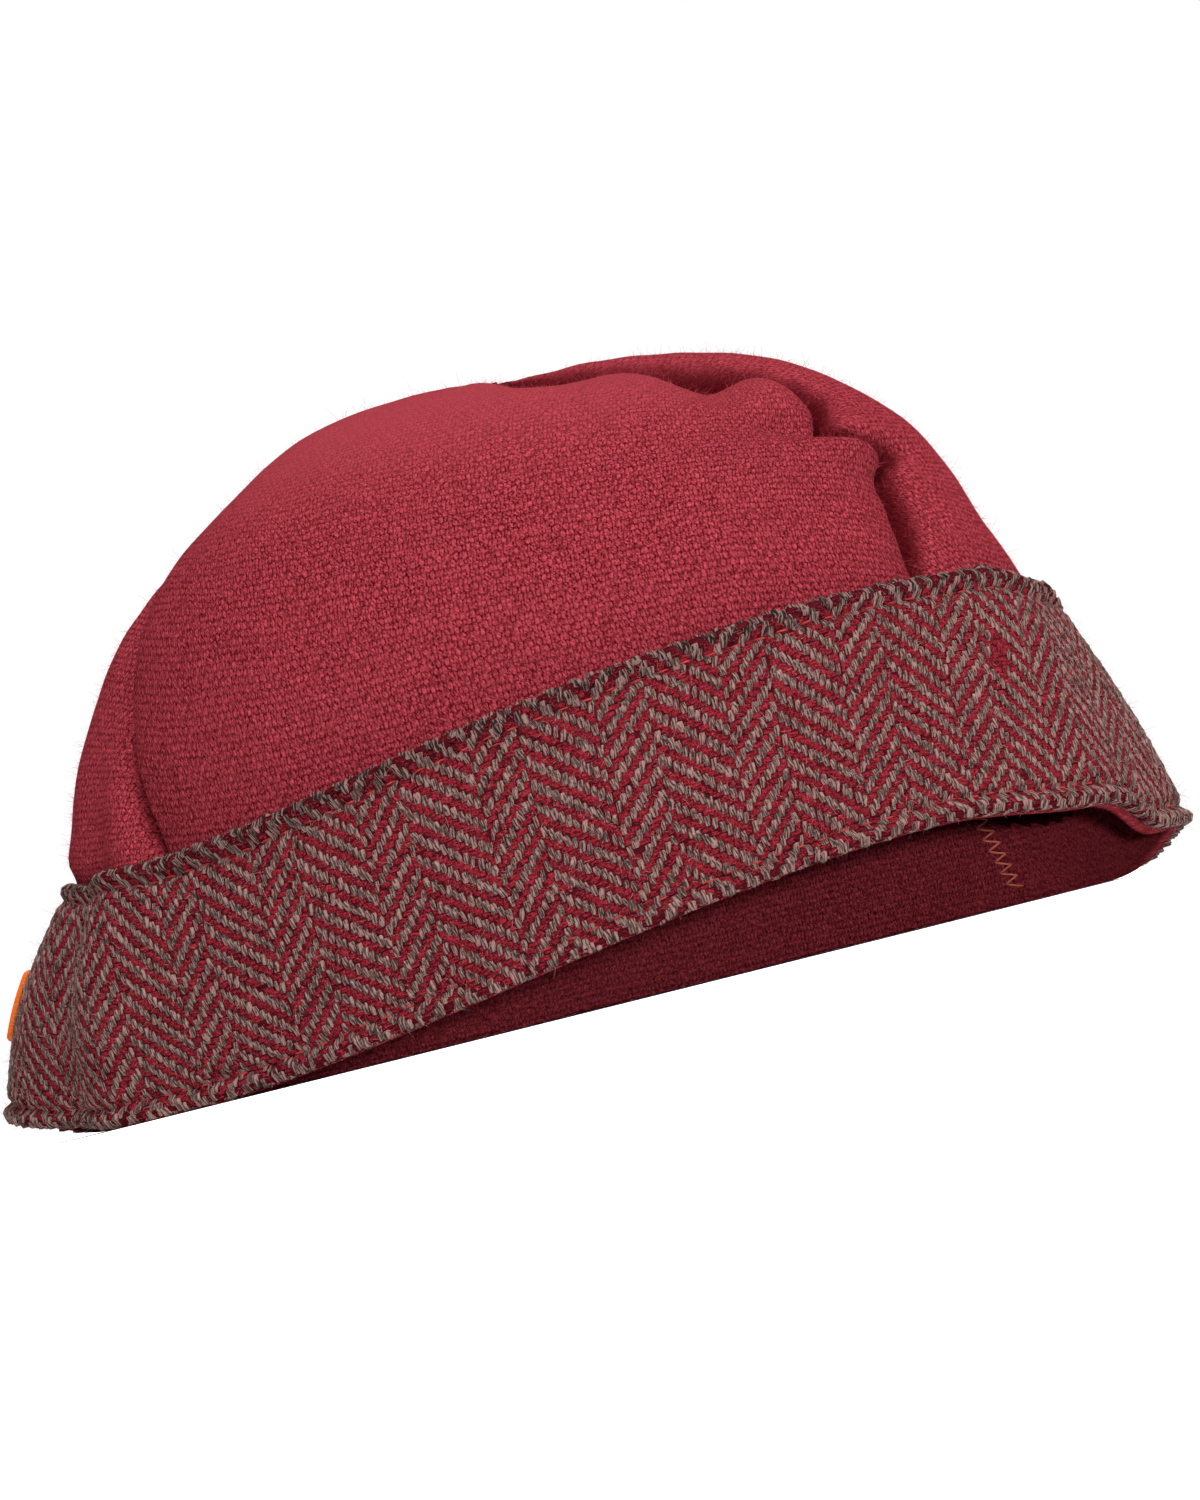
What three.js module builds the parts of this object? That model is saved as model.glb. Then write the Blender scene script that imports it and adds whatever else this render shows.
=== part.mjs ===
// A soft cap of coarse red wool: four gores that meet at the top, and a twill band sewn round the rim.
// Millimetres and degrees, +Z up. The rim rests on z = 0, with the origin under the middle of the cap.
// Azimuth 0 is the front of the cap (-Y) and azimuth 90 its right side (+X).
import * as THREE from "three";

const CROWN_WALL = 1.8;
const BAND_WALL = 2.0;
const LABEL_WALL = 1.0;
const SEAM_GAP = 0.3;
const BAND_GAP = 0.4;
const LABEL_GAP = 0.3;

// Cross-sections from the rim to the top centre, each an oval. The shift is towards the right side.
const SECTIONS = [
  { level: "rim", height: 0, halfWidth: 101.4, halfDepth: 86.5, shift: 0 },
  { level: "mid band", height: 21, halfWidth: 95.4, halfDepth: 82, shift: 0.6 },
  { level: "band top", height: 43, halfWidth: 85.2, halfDepth: 74.5, shift: 2.8 },
  { level: "side", height: 63, halfWidth: 77, halfDepth: 68, shift: 3.6 },
  { level: "shoulder", height: 83, halfWidth: 67.8, halfDepth: 59.5, shift: 4.8 },
  { level: "crest", height: 97, halfWidth: 53.2, halfDepth: 46.5, shift: 5 },
  { level: "crown top", height: 105.5, halfWidth: 30, halfDepth: 26, shift: 4.5 },
  { level: "centre", height: 108, halfWidth: 0, halfDepth: 0, shift: 8 },
];
const BAND_TOP_ROW = 2;
const BAND_TOP_RISE = BAND_TOP_ROW / (SECTIONS.length - 1);
const BAND_TOP_HEIGHT = SECTIONS[BAND_TOP_ROW].height;
const RIM_SHOWING = 0.8;

// The rim is lifted off the ground at the front right and a little at the left.
// Each row is a turning point.
const RIM_WAVE = [
  { azimuth: -116, lift: 0 },
  { azimuth: -92, lift: 6 },
  { azimuth: -50, lift: 0 },
  { azimuth: -44, lift: 0 },
  { azimuth: 36, lift: 15.2 },
  { azimuth: 57, lift: 12.6 },
  { azimuth: 75, lift: 6 },
  { azimuth: 90, lift: 6 },
  { azimuth: 116, lift: 0 },
];
// The band's upper edge rises and falls in the same way.
const BAND_WAVE = [
  { azimuth: -116, lift: 0 },
  { azimuth: -92, lift: -2 },
  { azimuth: -64, lift: -3 },
  { azimuth: 40, lift: 11 },
  { azimuth: 57, lift: 10.8 },
  { azimuth: 75, lift: 7.3 },
  { azimuth: 90, lift: 3 },
  { azimuth: 116, lift: 0 },
];
const LIFT_FADE = { from: 44, to: 106 };

// Each seam runs from its azimuth at the rim to that at the top, drawn towards the bend on its way.
// The cloth turns down to the seam's depth within the reach, before the seam and after it.
const SEAMS = {
  frontLeft: { rim: -24, bend: -83, top: -112, depth: 3.4, reachBefore: 3.2, reachAfter: 3.2 },
  frontRight: { rim: 36, bend: 66.5, top: 68, depth: 5.2, reachBefore: 3.2, reachAfter: 1.8 },
  backRight: { rim: 130, bend: 134, top: 142, depth: 4.4, reachBefore: 3.2, reachAfter: 3.2 },
  backLeft: { rim: -130, bend: -136, top: -148, depth: 4.4, reachBefore: 3.2, reachAfter: 3.2 },
};
// The front right seam is drawn to the left at a pinch, and bulges to the right just under it.
const SEAM_SWERVES = [
  { seam: "frontRight", height: 81.5, halfHeight: 6.5, degrees: -7.5 },
  { seam: "frontRight", height: 74, halfHeight: 4, degrees: 6.5 },
];

// The gores swell between their seams.
const GORES = [
  { name: "gore_front", from: "frontLeft", to: "frontRight", swell: 3, columns: 26 },
  { name: "gore_right", from: "frontRight", to: "backRight", swell: 2, columns: 20 },
  { name: "gore_back", from: "backRight", to: "backLeft", swell: 3, columns: 16 },
  { name: "gore_left", from: "backLeft", to: "frontLeft", swell: 2, columns: 28 },
];
// Near the top the front gore sags beside its right seam, and the right gore stands above it.
// The sag goes by the way to the right of the middle.
const RIDGE = { gore: "gore_front", seam: "frontRight", seamShare: 0.5 };
const RIDGE_REACH = { from: 5, to: 45 };
const RIDGE_RAMP = { from: 84, to: 96 };
const RIDGE_SAG = [
  { sideways: -4, sag: 0 },
  { sideways: 9, sag: 5 },
  { sideways: 25, sag: 1.4 },
  { sideways: 37, sag: 4.6 },
  { sideways: 47, sag: -1 },
  { sideways: 60, sag: 0 },
];
const GORE_ROWS = 23;
const EDGE_CROWDING = 0.6;
const SWELL_RAMP = { from: 26, to: 52 };
const POUF = { height: 1.6, from: 43, to: 56, fadeFrom: 60, fadeTo: 90 };
const TOP_EASE_RADIUS = 22;
const TIP_EASE_RADIUS = 8;
const TIP_RISE = 0.9965;

// Soft folds and dents of the whole cap: positive out, negative in. The lean is degrees per millimetre up.
const FOLDS = [
  { place: "front left flat", azimuth: -36, height: 10, halfAngle: 26, halfHeight: 70, lean: 0, depth: -4 },
  { place: "left crease", azimuth: -54, height: 10, halfAngle: 6, halfHeight: 60, lean: -0.26, depth: 2.2 },
  { place: "left groove", azimuth: -65, height: 8, halfAngle: 6, halfHeight: 58, lean: -0.24, depth: -3.2 },
  { place: "right pleat", azimuth: 71, height: 0, halfAngle: 8, halfHeight: 26, lean: 0, depth: -2 },
];
// Dents of the crown alone, above the band.
const DENT_RAMP = { from: 44, to: 54 };
const DENTS = [
  { place: "left side", azimuth: -94, height: 61, halfAngle: 24, halfHeight: 18, lean: 0, depth: 2.6 },
  { place: "left crest", azimuth: -80, height: 106.5, halfAngle: 42, halfHeight: 4, lean: 0, depth: 2.2 },
  { place: "seam pinch", azimuth: 46, height: 84, halfAngle: 7, halfHeight: 4, lean: 0, depth: -2.2 },
  { place: "pinch crease", azimuth: 28, height: 85, halfAngle: 20, halfHeight: 4, lean: 0.4, depth: -1.4 },
  { place: "pinch bulge", azimuth: 54, height: 75, halfAngle: 7, halfHeight: 5, lean: 0, depth: 1.8 },
  { place: "right crest", azimuth: 88, height: 101, halfAngle: 20, halfHeight: 6, lean: 0, depth: 1 },
  { place: "right side", azimuth: 88, height: 57, halfAngle: 18, halfHeight: 9, lean: 0, depth: -1.6 },
];

const BAND_COLUMNS = 112;
const BAND_ROWS = 5;
const LABEL = { azimuth: -95, width: 24, fromHeight: 15, toHeight: 27.5, columns: 6, rows: 3, corner: 2 };

const CROWN_RED = 0x8a2530;
const BAND_RED = 0x6e3a38;
const LABEL_ORANGE = 0xd2601c;

const radians = (degrees) => (degrees * Math.PI) / 180;
const blend = (a, b, share) => a + (b - a) * share;
const clamp01 = (value) => Math.min(1, Math.max(0, value));

function ease(value) {
  const share = clamp01(value);
  return share * share * (3 - 2 * share);
}

const ramp = (value, from, to) => ease((value - from) / (to - from));

function angleBetween(azimuth, other) {
  return ((azimuth - other + 540) % 360) - 180;
}

// A smooth curve through the rows of the section table. Past the centre the table mirrors itself.
function sectionAt(rise) {
  const last = SECTIONS.length - 1;
  const row = Math.min(last - 1, Math.floor(rise * last));
  const share = rise * last - row;
  const section = {};
  for (const column of ["height", "halfWidth", "halfDepth", "shift"]) {
    const mirror = column.startsWith("half") ? -1 : 1;
    const here = SECTIONS[row][column];
    const next = SECTIONS[row + 1][column];
    const before = row > 0 ? SECTIONS[row - 1][column] : 2 * here - next;
    const after = row + 2 <= last ? SECTIONS[row + 2][column] : mirror * here;
    const slope = next - before;
    const bend = 2 * before - 5 * here + 4 * next - after;
    const twist = 3 * here - before - 3 * next + after;
    section[column] = here + (share * (slope + share * (bend + share * twist))) / 2;
  }
  return section;
}

// The value of a wave between its turning points.
function waveAt(rows, placeColumn, valueColumn, place) {
  let row = 1;
  while (row < rows.length - 1 && place > rows[row][placeColumn]) {
    row += 1;
  }
  const before = rows[row - 1];
  const after = rows[row];
  const share = ramp(place, before[placeColumn], after[placeColumn]);
  return blend(before[valueColumn], after[valueColumn], share);
}

// The lift of the cloth at a height: from the rim's to that of the band's upper edge, then fading out.
function liftAt(azimuth, height) {
  const turn = angleBetween(azimuth, 0);
  const rimLift = waveAt(RIM_WAVE, "azimuth", "lift", turn);
  const bandLift = waveAt(BAND_WAVE, "azimuth", "lift", turn);
  const lifted = 1 - ramp(height, LIFT_FADE.from, LIFT_FADE.to);
  return blend(rimLift, bandLift, clamp01(height / BAND_TOP_HEIGHT)) * lifted;
}

// The plain form of the cap, without folds.
function formPoint(azimuth, rise) {
  const section = sectionAt(rise);
  const turn = radians(azimuth);
  return new THREE.Vector3(
    section.shift + section.halfWidth * Math.sin(turn),
    -section.halfDepth * Math.cos(turn),
    section.height + liftAt(azimuth, section.height),
  );
}

// The way out of the cloth. It is level at the rim, so that the rim's lower edge is flat.
function outward(azimuth, rise) {
  const step = 0.002;
  const along = formPoint(azimuth + 0.1, rise).sub(formPoint(azimuth - 0.1, rise));
  const up = formPoint(azimuth, Math.min(rise + step, 1)).sub(formPoint(azimuth, Math.max(rise - step, 0)));
  const way = along.cross(up).normalize();
  way.z *= ramp(sectionAt(rise).height, 0, 12);
  return way.normalize();
}

function sumOfFolds(folds, azimuth, height) {
  let total = 0;
  for (const fold of folds) {
    const rise = height - fold.height;
    const across = angleBetween(azimuth, fold.azimuth + fold.lean * rise) / fold.halfAngle;
    const along = rise / fold.halfHeight;
    total += fold.depth * Math.exp(-across * across - along * along);
  }
  return total;
}

// A point of the cap, this far out from its folded form.
function capPoint(azimuth, rise, out) {
  const height = sectionAt(rise).height;
  const distance = out + sumOfFolds(FOLDS, azimuth, height);
  return formPoint(azimuth, rise).addScaledVector(outward(azimuth, rise), distance);
}

function seamAzimuth(name, rise) {
  const seam = SEAMS[name];
  const rest = 1 - rise;
  const height = sectionAt(rise).height;
  let azimuth = seam.rim * rest * rest + 2 * seam.bend * rest * rise + seam.top * rise * rise;
  for (const swerve of SEAM_SWERVES) {
    if (swerve.seam === name) {
      azimuth += swerve.degrees * Math.exp(-(((height - swerve.height) / swerve.halfHeight) ** 2));
    }
  }
  return azimuth;
}

function goreLimits(gore, rise) {
  const from = seamAzimuth(gore.from, rise);
  let to = seamAzimuth(gore.to, rise);
  if (to < from) {
    to += 360;
  }
  return { from, to };
}

// How far the crown's cloth stands out: in at the seams, out over the band, dented where it is pressed.
function crownOut(gore, azimuth, rise, limits, millimetresPerDegree) {
  const section = sectionAt(rise);
  const height = section.height;
  const across = (2 * (azimuth - limits.from)) / (limits.to - limits.from) - 1;
  const toSeam = (1 - Math.abs(across)) * 0.5 * (limits.to - limits.from) * millimetresPerDegree;
  const seamName = across < 0 ? gore.from : gore.to;
  const seam = SEAMS[seamName];
  const reach = across < 0 ? seam.reachAfter : seam.reachBefore;
  const full = ramp(height, SWELL_RAMP.from, SWELL_RAMP.to) * clamp01(section.halfDepth / TOP_EASE_RADIUS);
  const swell = gore.swell * across ** 4 * full;
  const poufRamp = ramp(height, POUF.from, POUF.to) * (1 - ramp(height, POUF.fadeFrom, POUF.fadeTo));
  const pouf = POUF.height * poufRamp * (1 - across ** 4);
  const tipEase = clamp01(section.halfDepth / TIP_EASE_RADIUS);
  const dents = sumOfFolds(DENTS, azimuth, height) * ramp(height, DENT_RAMP.from, DENT_RAMP.to) * tipEase;
  const sideways = section.halfWidth * Math.sin(radians(azimuth));
  const ridgeShare = seamName === RIDGE.seam ? ramp(height, RIDGE_RAMP.from, RIDGE_RAMP.to) : 0;
  const ridge = ridgeShare * waveAt(RIDGE_SAG, "sideways", "sag", sideways);
  const sag = gore.name === RIDGE.gore ? ridge * (1 - ramp(toSeam, RIDGE_REACH.from, RIDGE_REACH.to)) : 0;
  const seamOut = -seam.depth * full - ridge * RIDGE.seamShare;
  return blend(pouf - swell - sag + dents, seamOut, Math.exp(-toSeam / reach));
}

// A closed wall between an outer and an inner grid of points, each a list of rows.
// A closed ring joins its last column to its first, and a pointed wall ends in one point at its last row.
function wallGeometry(outer, inner, { ring = false, pointed = false } = {}) {
  const rows = outer.length;
  const columns = outer[0].length;
  const steps = ring ? columns : columns - 1;
  const positions = [];
  for (const point of [...outer.flat(), ...inner.flat()]) {
    positions.push(point.x, point.y, point.z);
  }
  const at = (side, row, column) => {
    const place = pointed && row === rows - 1 ? 0 : column % columns;
    return (side * rows + row) * columns + place;
  };
  const index = [];
  const triangle = (a, b, c) => {
    if (a !== b && b !== c && c !== a) {
      index.push(a, b, c);
    }
  };
  const quad = (a, b, c, d) => {
    triangle(a, b, c);
    triangle(a, c, d);
  };
  for (let row = 0; row < rows - 1; row += 1) {
    for (let step = 0; step < steps; step += 1) {
      quad(at(0, row, step), at(0, row, step + 1), at(0, row + 1, step + 1), at(0, row + 1, step));
      quad(at(1, row, step + 1), at(1, row, step), at(1, row + 1, step), at(1, row + 1, step + 1));
    }
    if (!ring) {
      quad(at(0, row, 0), at(0, row + 1, 0), at(1, row + 1, 0), at(1, row, 0));
      quad(at(0, row + 1, steps), at(0, row, steps), at(1, row, steps), at(1, row + 1, steps));
    }
  }
  const top = rows - 1;
  for (let step = 0; step < steps; step += 1) {
    quad(at(0, 0, step + 1), at(0, 0, step), at(1, 0, step), at(1, 0, step + 1));
    quad(at(0, top, step), at(0, top, step + 1), at(1, top, step + 1), at(1, top, step));
  }
  const geometry = new THREE.BufferGeometry();
  geometry.setAttribute("position", new THREE.Float32BufferAttribute(positions, 3));
  geometry.setIndex(index);
  const trimmed = dropUnused(geometry);
  trimmed.computeVertexNormals();
  return trimmed;
}

// Keeps only the points that a triangle uses.
function dropUnused(geometry) {
  const source = geometry.getAttribute("position");
  const places = new Map();
  const positions = [];
  const index = [];
  for (const corner of geometry.getIndex().array) {
    if (!places.has(corner)) {
      places.set(corner, places.size);
      positions.push(source.getX(corner), source.getY(corner), source.getZ(corner));
    }
    index.push(places.get(corner));
  }
  const kept = new THREE.BufferGeometry();
  kept.setAttribute("position", new THREE.Float32BufferAttribute(positions, 3));
  kept.setIndex(index);
  return kept;
}

function goreGeometry(gore) {
  const outer = [];
  const inner = [];
  for (let row = 0; row <= GORE_ROWS; row += 1) {
    const rise = (TIP_RISE * row) / GORE_ROWS;
    const limits = goreLimits(gore, rise);
    const middle = (limits.from + limits.to) / 2;
    const outerRow = [];
    const innerRow = [];
    for (let column = 0; column <= gore.columns; column += 1) {
      const even = (2 * column) / gore.columns - 1;
      const spread = blend(even, Math.sin((Math.PI / 2) * even), EDGE_CROWDING);
      const edge = spread < 0 ? limits.from : limits.to;
      const perDegree = formPoint(edge, rise).distanceTo(formPoint(edge + 1, rise));
      const half = (limits.to - limits.from) / 2 - SEAM_GAP / 2 / perDegree;
      const azimuth = middle + spread * half;
      const out = crownOut(gore, azimuth, rise, limits, perDegree);
      outerRow.push(capPoint(azimuth, rise, out));
      innerRow.push(capPoint(azimuth, rise, out - CROWN_WALL));
    }
    outer.push(outerRow);
    inner.push(innerRow);
  }
  return wallGeometry(outer, inner, { pointed: true });
}

function bandGeometry() {
  const outer = [];
  const inner = [];
  const rimRise = (BAND_TOP_RISE * RIM_SHOWING) / BAND_TOP_HEIGHT;
  for (let row = 0; row <= BAND_ROWS; row += 1) {
    const rise = blend(rimRise, BAND_TOP_RISE, row / BAND_ROWS);
    const outerRow = [];
    const innerRow = [];
    for (let column = 0; column < BAND_COLUMNS; column += 1) {
      const azimuth = (360 * column) / BAND_COLUMNS;
      innerRow.push(capPoint(azimuth, rise, BAND_GAP));
      outerRow.push(capPoint(azimuth, rise, BAND_GAP + BAND_WALL));
    }
    outer.push(outerRow);
    inner.push(innerRow);
  }
  return wallGeometry(outer, inner, { ring: true });
}

function labelGeometry() {
  const outer = [];
  const inner = [];
  const under = BAND_GAP + BAND_WALL + LABEL_GAP;
  const middleHeight = (LABEL.fromHeight + LABEL.toHeight) / 2;
  const risePerMillimetre = BAND_TOP_RISE / BAND_TOP_HEIGHT;
  const middleRise = middleHeight * risePerMillimetre;
  const nextDegree = formPoint(LABEL.azimuth + 1, middleRise);
  const perDegree = formPoint(LABEL.azimuth, middleRise).distanceTo(nextDegree);
  for (let row = 0; row <= LABEL.rows; row += 1) {
    const height = blend(LABEL.fromHeight, LABEL.toHeight, row / LABEL.rows);
    const atEnd = row === 0 || row === LABEL.rows;
    const half = LABEL.width / 2 - (atEnd ? LABEL.corner / 2 : 0);
    const outerRow = [];
    const innerRow = [];
    for (let column = 0; column <= LABEL.columns; column += 1) {
      const azimuth = LABEL.azimuth + blend(-half, half, column / LABEL.columns) / perDegree;
      innerRow.push(capPoint(azimuth, height * risePerMillimetre, under));
      outerRow.push(capPoint(azimuth, height * risePerMillimetre, under + LABEL_WALL));
    }
    outer.push(outerRow);
    inner.push(innerRow);
  }
  return wallGeometry(outer, inner);
}

function pieceOf(name, geometry, color, roughness) {
  const material = new THREE.MeshStandardMaterial({ color, roughness, metalness: 0 });
  const mesh = new THREE.Mesh(geometry, material);
  mesh.name = name;
  return mesh;
}

const cap = new THREE.Group();
cap.name = "soft_cap";
for (const gore of GORES) {
  cap.add(pieceOf(gore.name, goreGeometry(gore), CROWN_RED, 0.95));
}
cap.add(pieceOf("band", bandGeometry(), BAND_RED, 0.95));
cap.add(pieceOf("side_label", labelGeometry(), LABEL_ORANGE, 0.8));

export default cap;
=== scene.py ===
import math

import bpy
import numpy as np
from mathutils import Matrix, Vector


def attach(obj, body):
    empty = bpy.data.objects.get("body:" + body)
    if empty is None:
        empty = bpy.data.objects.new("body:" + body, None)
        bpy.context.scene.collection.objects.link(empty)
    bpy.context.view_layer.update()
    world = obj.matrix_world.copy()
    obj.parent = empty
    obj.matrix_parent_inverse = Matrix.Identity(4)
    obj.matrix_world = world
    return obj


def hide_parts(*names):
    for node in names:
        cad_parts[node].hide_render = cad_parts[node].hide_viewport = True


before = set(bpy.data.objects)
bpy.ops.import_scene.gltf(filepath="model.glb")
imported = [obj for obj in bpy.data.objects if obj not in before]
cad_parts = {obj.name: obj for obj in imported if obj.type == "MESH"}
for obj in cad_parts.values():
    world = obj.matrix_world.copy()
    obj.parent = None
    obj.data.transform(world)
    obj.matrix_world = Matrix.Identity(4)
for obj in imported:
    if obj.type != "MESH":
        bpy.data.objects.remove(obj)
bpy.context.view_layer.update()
scene = bpy.context.scene
rng = np.random.default_rng(11)
metre = 0.001  # the form is worked out in millimetres and degrees

# The form of the cap. Azimuth 0 is the front (-Y), 90 the right side (+X). The tables are those of the
# solids, but for closer seams, one softer dent, dents that begin nearer to the band, and three dents more.

cloth = {
    "crownWall": 1.8, "bandWall": 2.0, "labelWall": 1.0, "seamGap": 0.12, "bandGap": 0.4, "labelGap": 0.3,
}
sections = [
    {"level": "rim", "height": 0, "halfWidth": 101.4, "halfDepth": 86.5, "shift": 0},
    {"level": "mid band", "height": 21, "halfWidth": 95.4, "halfDepth": 82, "shift": 0.6},
    {"level": "band top", "height": 43, "halfWidth": 85.2, "halfDepth": 74.5, "shift": 2.8},
    {"level": "side", "height": 63, "halfWidth": 77, "halfDepth": 68, "shift": 3.6},
    {"level": "shoulder", "height": 83, "halfWidth": 67.8, "halfDepth": 59.5, "shift": 4.8},
    {"level": "crest", "height": 97, "halfWidth": 53.2, "halfDepth": 46.5, "shift": 5},
    {"level": "crown top", "height": 105.5, "halfWidth": 30, "halfDepth": 26, "shift": 4.5},
    {"level": "centre", "height": 108, "halfWidth": 0, "halfDepth": 0, "shift": 8},
]
bandTopRow = 2
bandTopRise = bandTopRow / (len(sections) - 1)
bandTopHeight = sections[bandTopRow]["height"]
risePerHeight = bandTopRise / bandTopHeight  # from the rim to the band's upper edge
rimShowing = 0.8  # of the crown, under the band's lower edge
rimWave = [  # turning points of the rim
    {"azimuth": -116, "lift": 0}, {"azimuth": -92, "lift": 6}, {"azimuth": -50, "lift": 0},
    {"azimuth": -44, "lift": 0}, {"azimuth": 36, "lift": 15.2}, {"azimuth": 57, "lift": 12.6},
    {"azimuth": 75, "lift": 6}, {"azimuth": 90, "lift": 6}, {"azimuth": 116, "lift": 0},
]
bandWave = [  # and of the band's upper edge
    {"azimuth": -116, "lift": 0}, {"azimuth": -92, "lift": -2}, {"azimuth": -64, "lift": -3},
    {"azimuth": 40, "lift": 11}, {"azimuth": 57, "lift": 10.8}, {"azimuth": 75, "lift": 7.3},
    {"azimuth": 90, "lift": 3}, {"azimuth": 116, "lift": 0},
]
liftFade = {"from": 44, "to": 106}
levelUnder = 12  # towards the rim the way out of the cloth turns level
seams = {
    "frontLeft": {"rim": -24, "bend": -83, "top": -112, "depth": 3.4},
    "frontRight": {"rim": 36, "bend": 66.5, "top": 68, "depth": 5.2, "reachAfter": 1.8},
    "backRight": {"rim": 130, "bend": 134, "top": 142, "depth": 4.4},
    "backLeft": {"rim": -130, "bend": -136, "top": -148, "depth": 4.4},
}
seamReach = 3.2  # how far off a seam draws the cloth in, before it and after it
seamSwerves = [  # the front right seam is drawn left at a pinch and bulges right under it
    {"seam": "frontRight", "height": 81.5, "halfHeight": 6.5, "degrees": -7.5},
    {"seam": "frontRight", "height": 74, "halfHeight": 4, "degrees": 6.5},
]
gores = [
    {"node": "gore_front", "from": "frontLeft", "to": "frontRight", "swell": 3},
    {"node": "gore_right", "from": "frontRight", "to": "backRight", "swell": 2},
    {"node": "gore_back", "from": "backRight", "to": "backLeft", "swell": 3},
    {"node": "gore_left", "from": "backLeft", "to": "frontLeft", "swell": 2},
]
ridge = {
    "gore": "gore_front", "seam": "frontRight", "full": 5, "reach": 45, "from": 84, "to": 96, "share": 0.5,
}
ridgeSag = [  # how far the front gore sags beside its right seam, by the way to the right of the middle
    {"sideways": -4, "sag": 0}, {"sideways": 9, "sag": 5}, {"sideways": 25, "sag": 1.4},
    {"sideways": 37, "sag": 4.6}, {"sideways": 47, "sag": -1}, {"sideways": 60, "sag": 0},
]
swellRamp = {"from": 26, "to": 52, "power": 4}
pouf = {"height": 1.6, "from": 43, "to": 56, "fadeFrom": 60, "fadeTo": 90}
topEaseRadius = 22  # swell and creases ease out where the top is narrower than this
tipEaseRadius = 8  # and dents where it is narrower than this
tipRise = 0.9965  # the gores end just short of the centre
folds = [  # of the whole cap: positive out, negative in, lean in degrees per millimetre up
    {"azimuth": -36, "height": 10, "halfAngle": 26, "halfHeight": 70, "depth": -4},
    {"azimuth": -54, "height": 10, "halfAngle": 6, "halfHeight": 60, "lean": -0.26, "depth": 2.2},
    {"azimuth": -65, "height": 8, "halfAngle": 6, "halfHeight": 58, "lean": -0.24, "depth": -3.2},
    {"azimuth": 71, "height": 0, "halfAngle": 8, "halfHeight": 26, "depth": -2},
]
dentRamp = {"from": 42, "to": 47}
dents = [  # of the crown alone
    {"azimuth": -94, "height": 61, "halfAngle": 24, "halfHeight": 18, "depth": 2.6},
    {"azimuth": -80, "height": 106.5, "halfAngle": 42, "halfHeight": 4, "depth": 2.2},
    {"azimuth": -88, "height": 98, "halfAngle": 36, "halfHeight": 7, "depth": -1.2},
    {"azimuth": -88, "height": 79, "halfAngle": 30, "halfHeight": 9, "depth": 0.7},
    {"azimuth": -96, "height": 46, "halfAngle": 20, "halfHeight": 5, "depth": 1.6},
    {"azimuth": 46, "height": 84, "halfAngle": 7, "halfHeight": 4, "depth": -2.2},
    {"azimuth": 28, "height": 85, "halfAngle": 20, "halfHeight": 5, "lean": 0.4, "depth": -0.6},
    {"azimuth": 54, "height": 75, "halfAngle": 7, "halfHeight": 5, "depth": 1.8},
    {"azimuth": 88, "height": 101, "halfAngle": 20, "halfHeight": 6, "depth": 1},
    {"azimuth": 88, "height": 57, "halfAngle": 18, "halfHeight": 9, "depth": -1.6},
]


def blend(a, b, share):
    return a + (b - a) * share


def ramp(value, start, stop):
    share = np.clip((value - start) / (stop - start), 0, 1)
    return share * share * (3 - 2 * share)


def unit(vectors):
    return vectors / np.linalg.norm(vectors, axis=-1, keepdims=True)


def stepLengths(points, axis=0):
    return np.linalg.norm(np.diff(points, axis=axis), axis=-1)


def angleBetween(azimuth, other):
    return (azimuth - other + 540) % 360 - 180


def column(rows, name):
    return np.array([row[name] for row in rows], float)


def sectionAt(rise):
    last = len(sections) - 1
    row = np.clip(np.floor(rise * last).astype(int), 0, last - 1)
    share = rise * last - row
    section = {}
    for name in ("height", "halfWidth", "halfDepth", "shift"):
        values = column(sections, name)
        mirror = -1 if name.startswith("half") else 1
        values = np.concatenate([[2 * values[0] - values[1]], values, [mirror * values[-2]]])
        before, here, after, beyond = (values[row + step] for step in range(4))
        bend = 2 * before - 5 * here + 4 * after - beyond
        twist = 3 * here - before - 3 * after + beyond
        section[name] = here + share * (after - before + share * (bend + share * twist)) / 2
    return section


def waveAt(rows, placeColumn, valueColumn, place):
    knots, values = column(rows, placeColumn), column(rows, valueColumn)
    row = np.clip(np.searchsorted(knots, place), 1, len(knots) - 1)
    return blend(values[row - 1], values[row], ramp(place, knots[row - 1], knots[row]))


def liftAt(azimuth, height):
    turn = angleBetween(azimuth, 0)
    rimLift = waveAt(rimWave, "azimuth", "lift", turn)
    bandLift = waveAt(bandWave, "azimuth", "lift", turn)
    lifted = 1 - ramp(height, liftFade["from"], liftFade["to"])
    return blend(rimLift, bandLift, np.clip(height / bandTopHeight, 0, 1)) * lifted


def formPoint(azimuth, rise):
    section = sectionAt(rise)
    turn = np.radians(azimuth)
    x = section["shift"] + section["halfWidth"] * np.sin(turn)
    y = -section["halfDepth"] * np.cos(turn)
    z = section["height"] + liftAt(azimuth, section["height"])
    return np.stack(np.broadcast_arrays(x, y, z), -1)


def degreeLength(azimuth, rise):
    return np.linalg.norm(formPoint(azimuth, rise) - formPoint(azimuth + 1, rise), axis=-1)


def outward(azimuth, rise, degrees=0.1, step=0.002):
    along = formPoint(azimuth + degrees, rise) - formPoint(azimuth - degrees, rise)
    low, high = np.maximum(rise - step, 0), np.minimum(rise + step, 1)
    way = unit(np.cross(along, formPoint(azimuth, high) - formPoint(azimuth, low)))
    way[..., 2] *= ramp(sectionAt(rise)["height"], 0, levelUnder)
    return unit(way)


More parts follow.
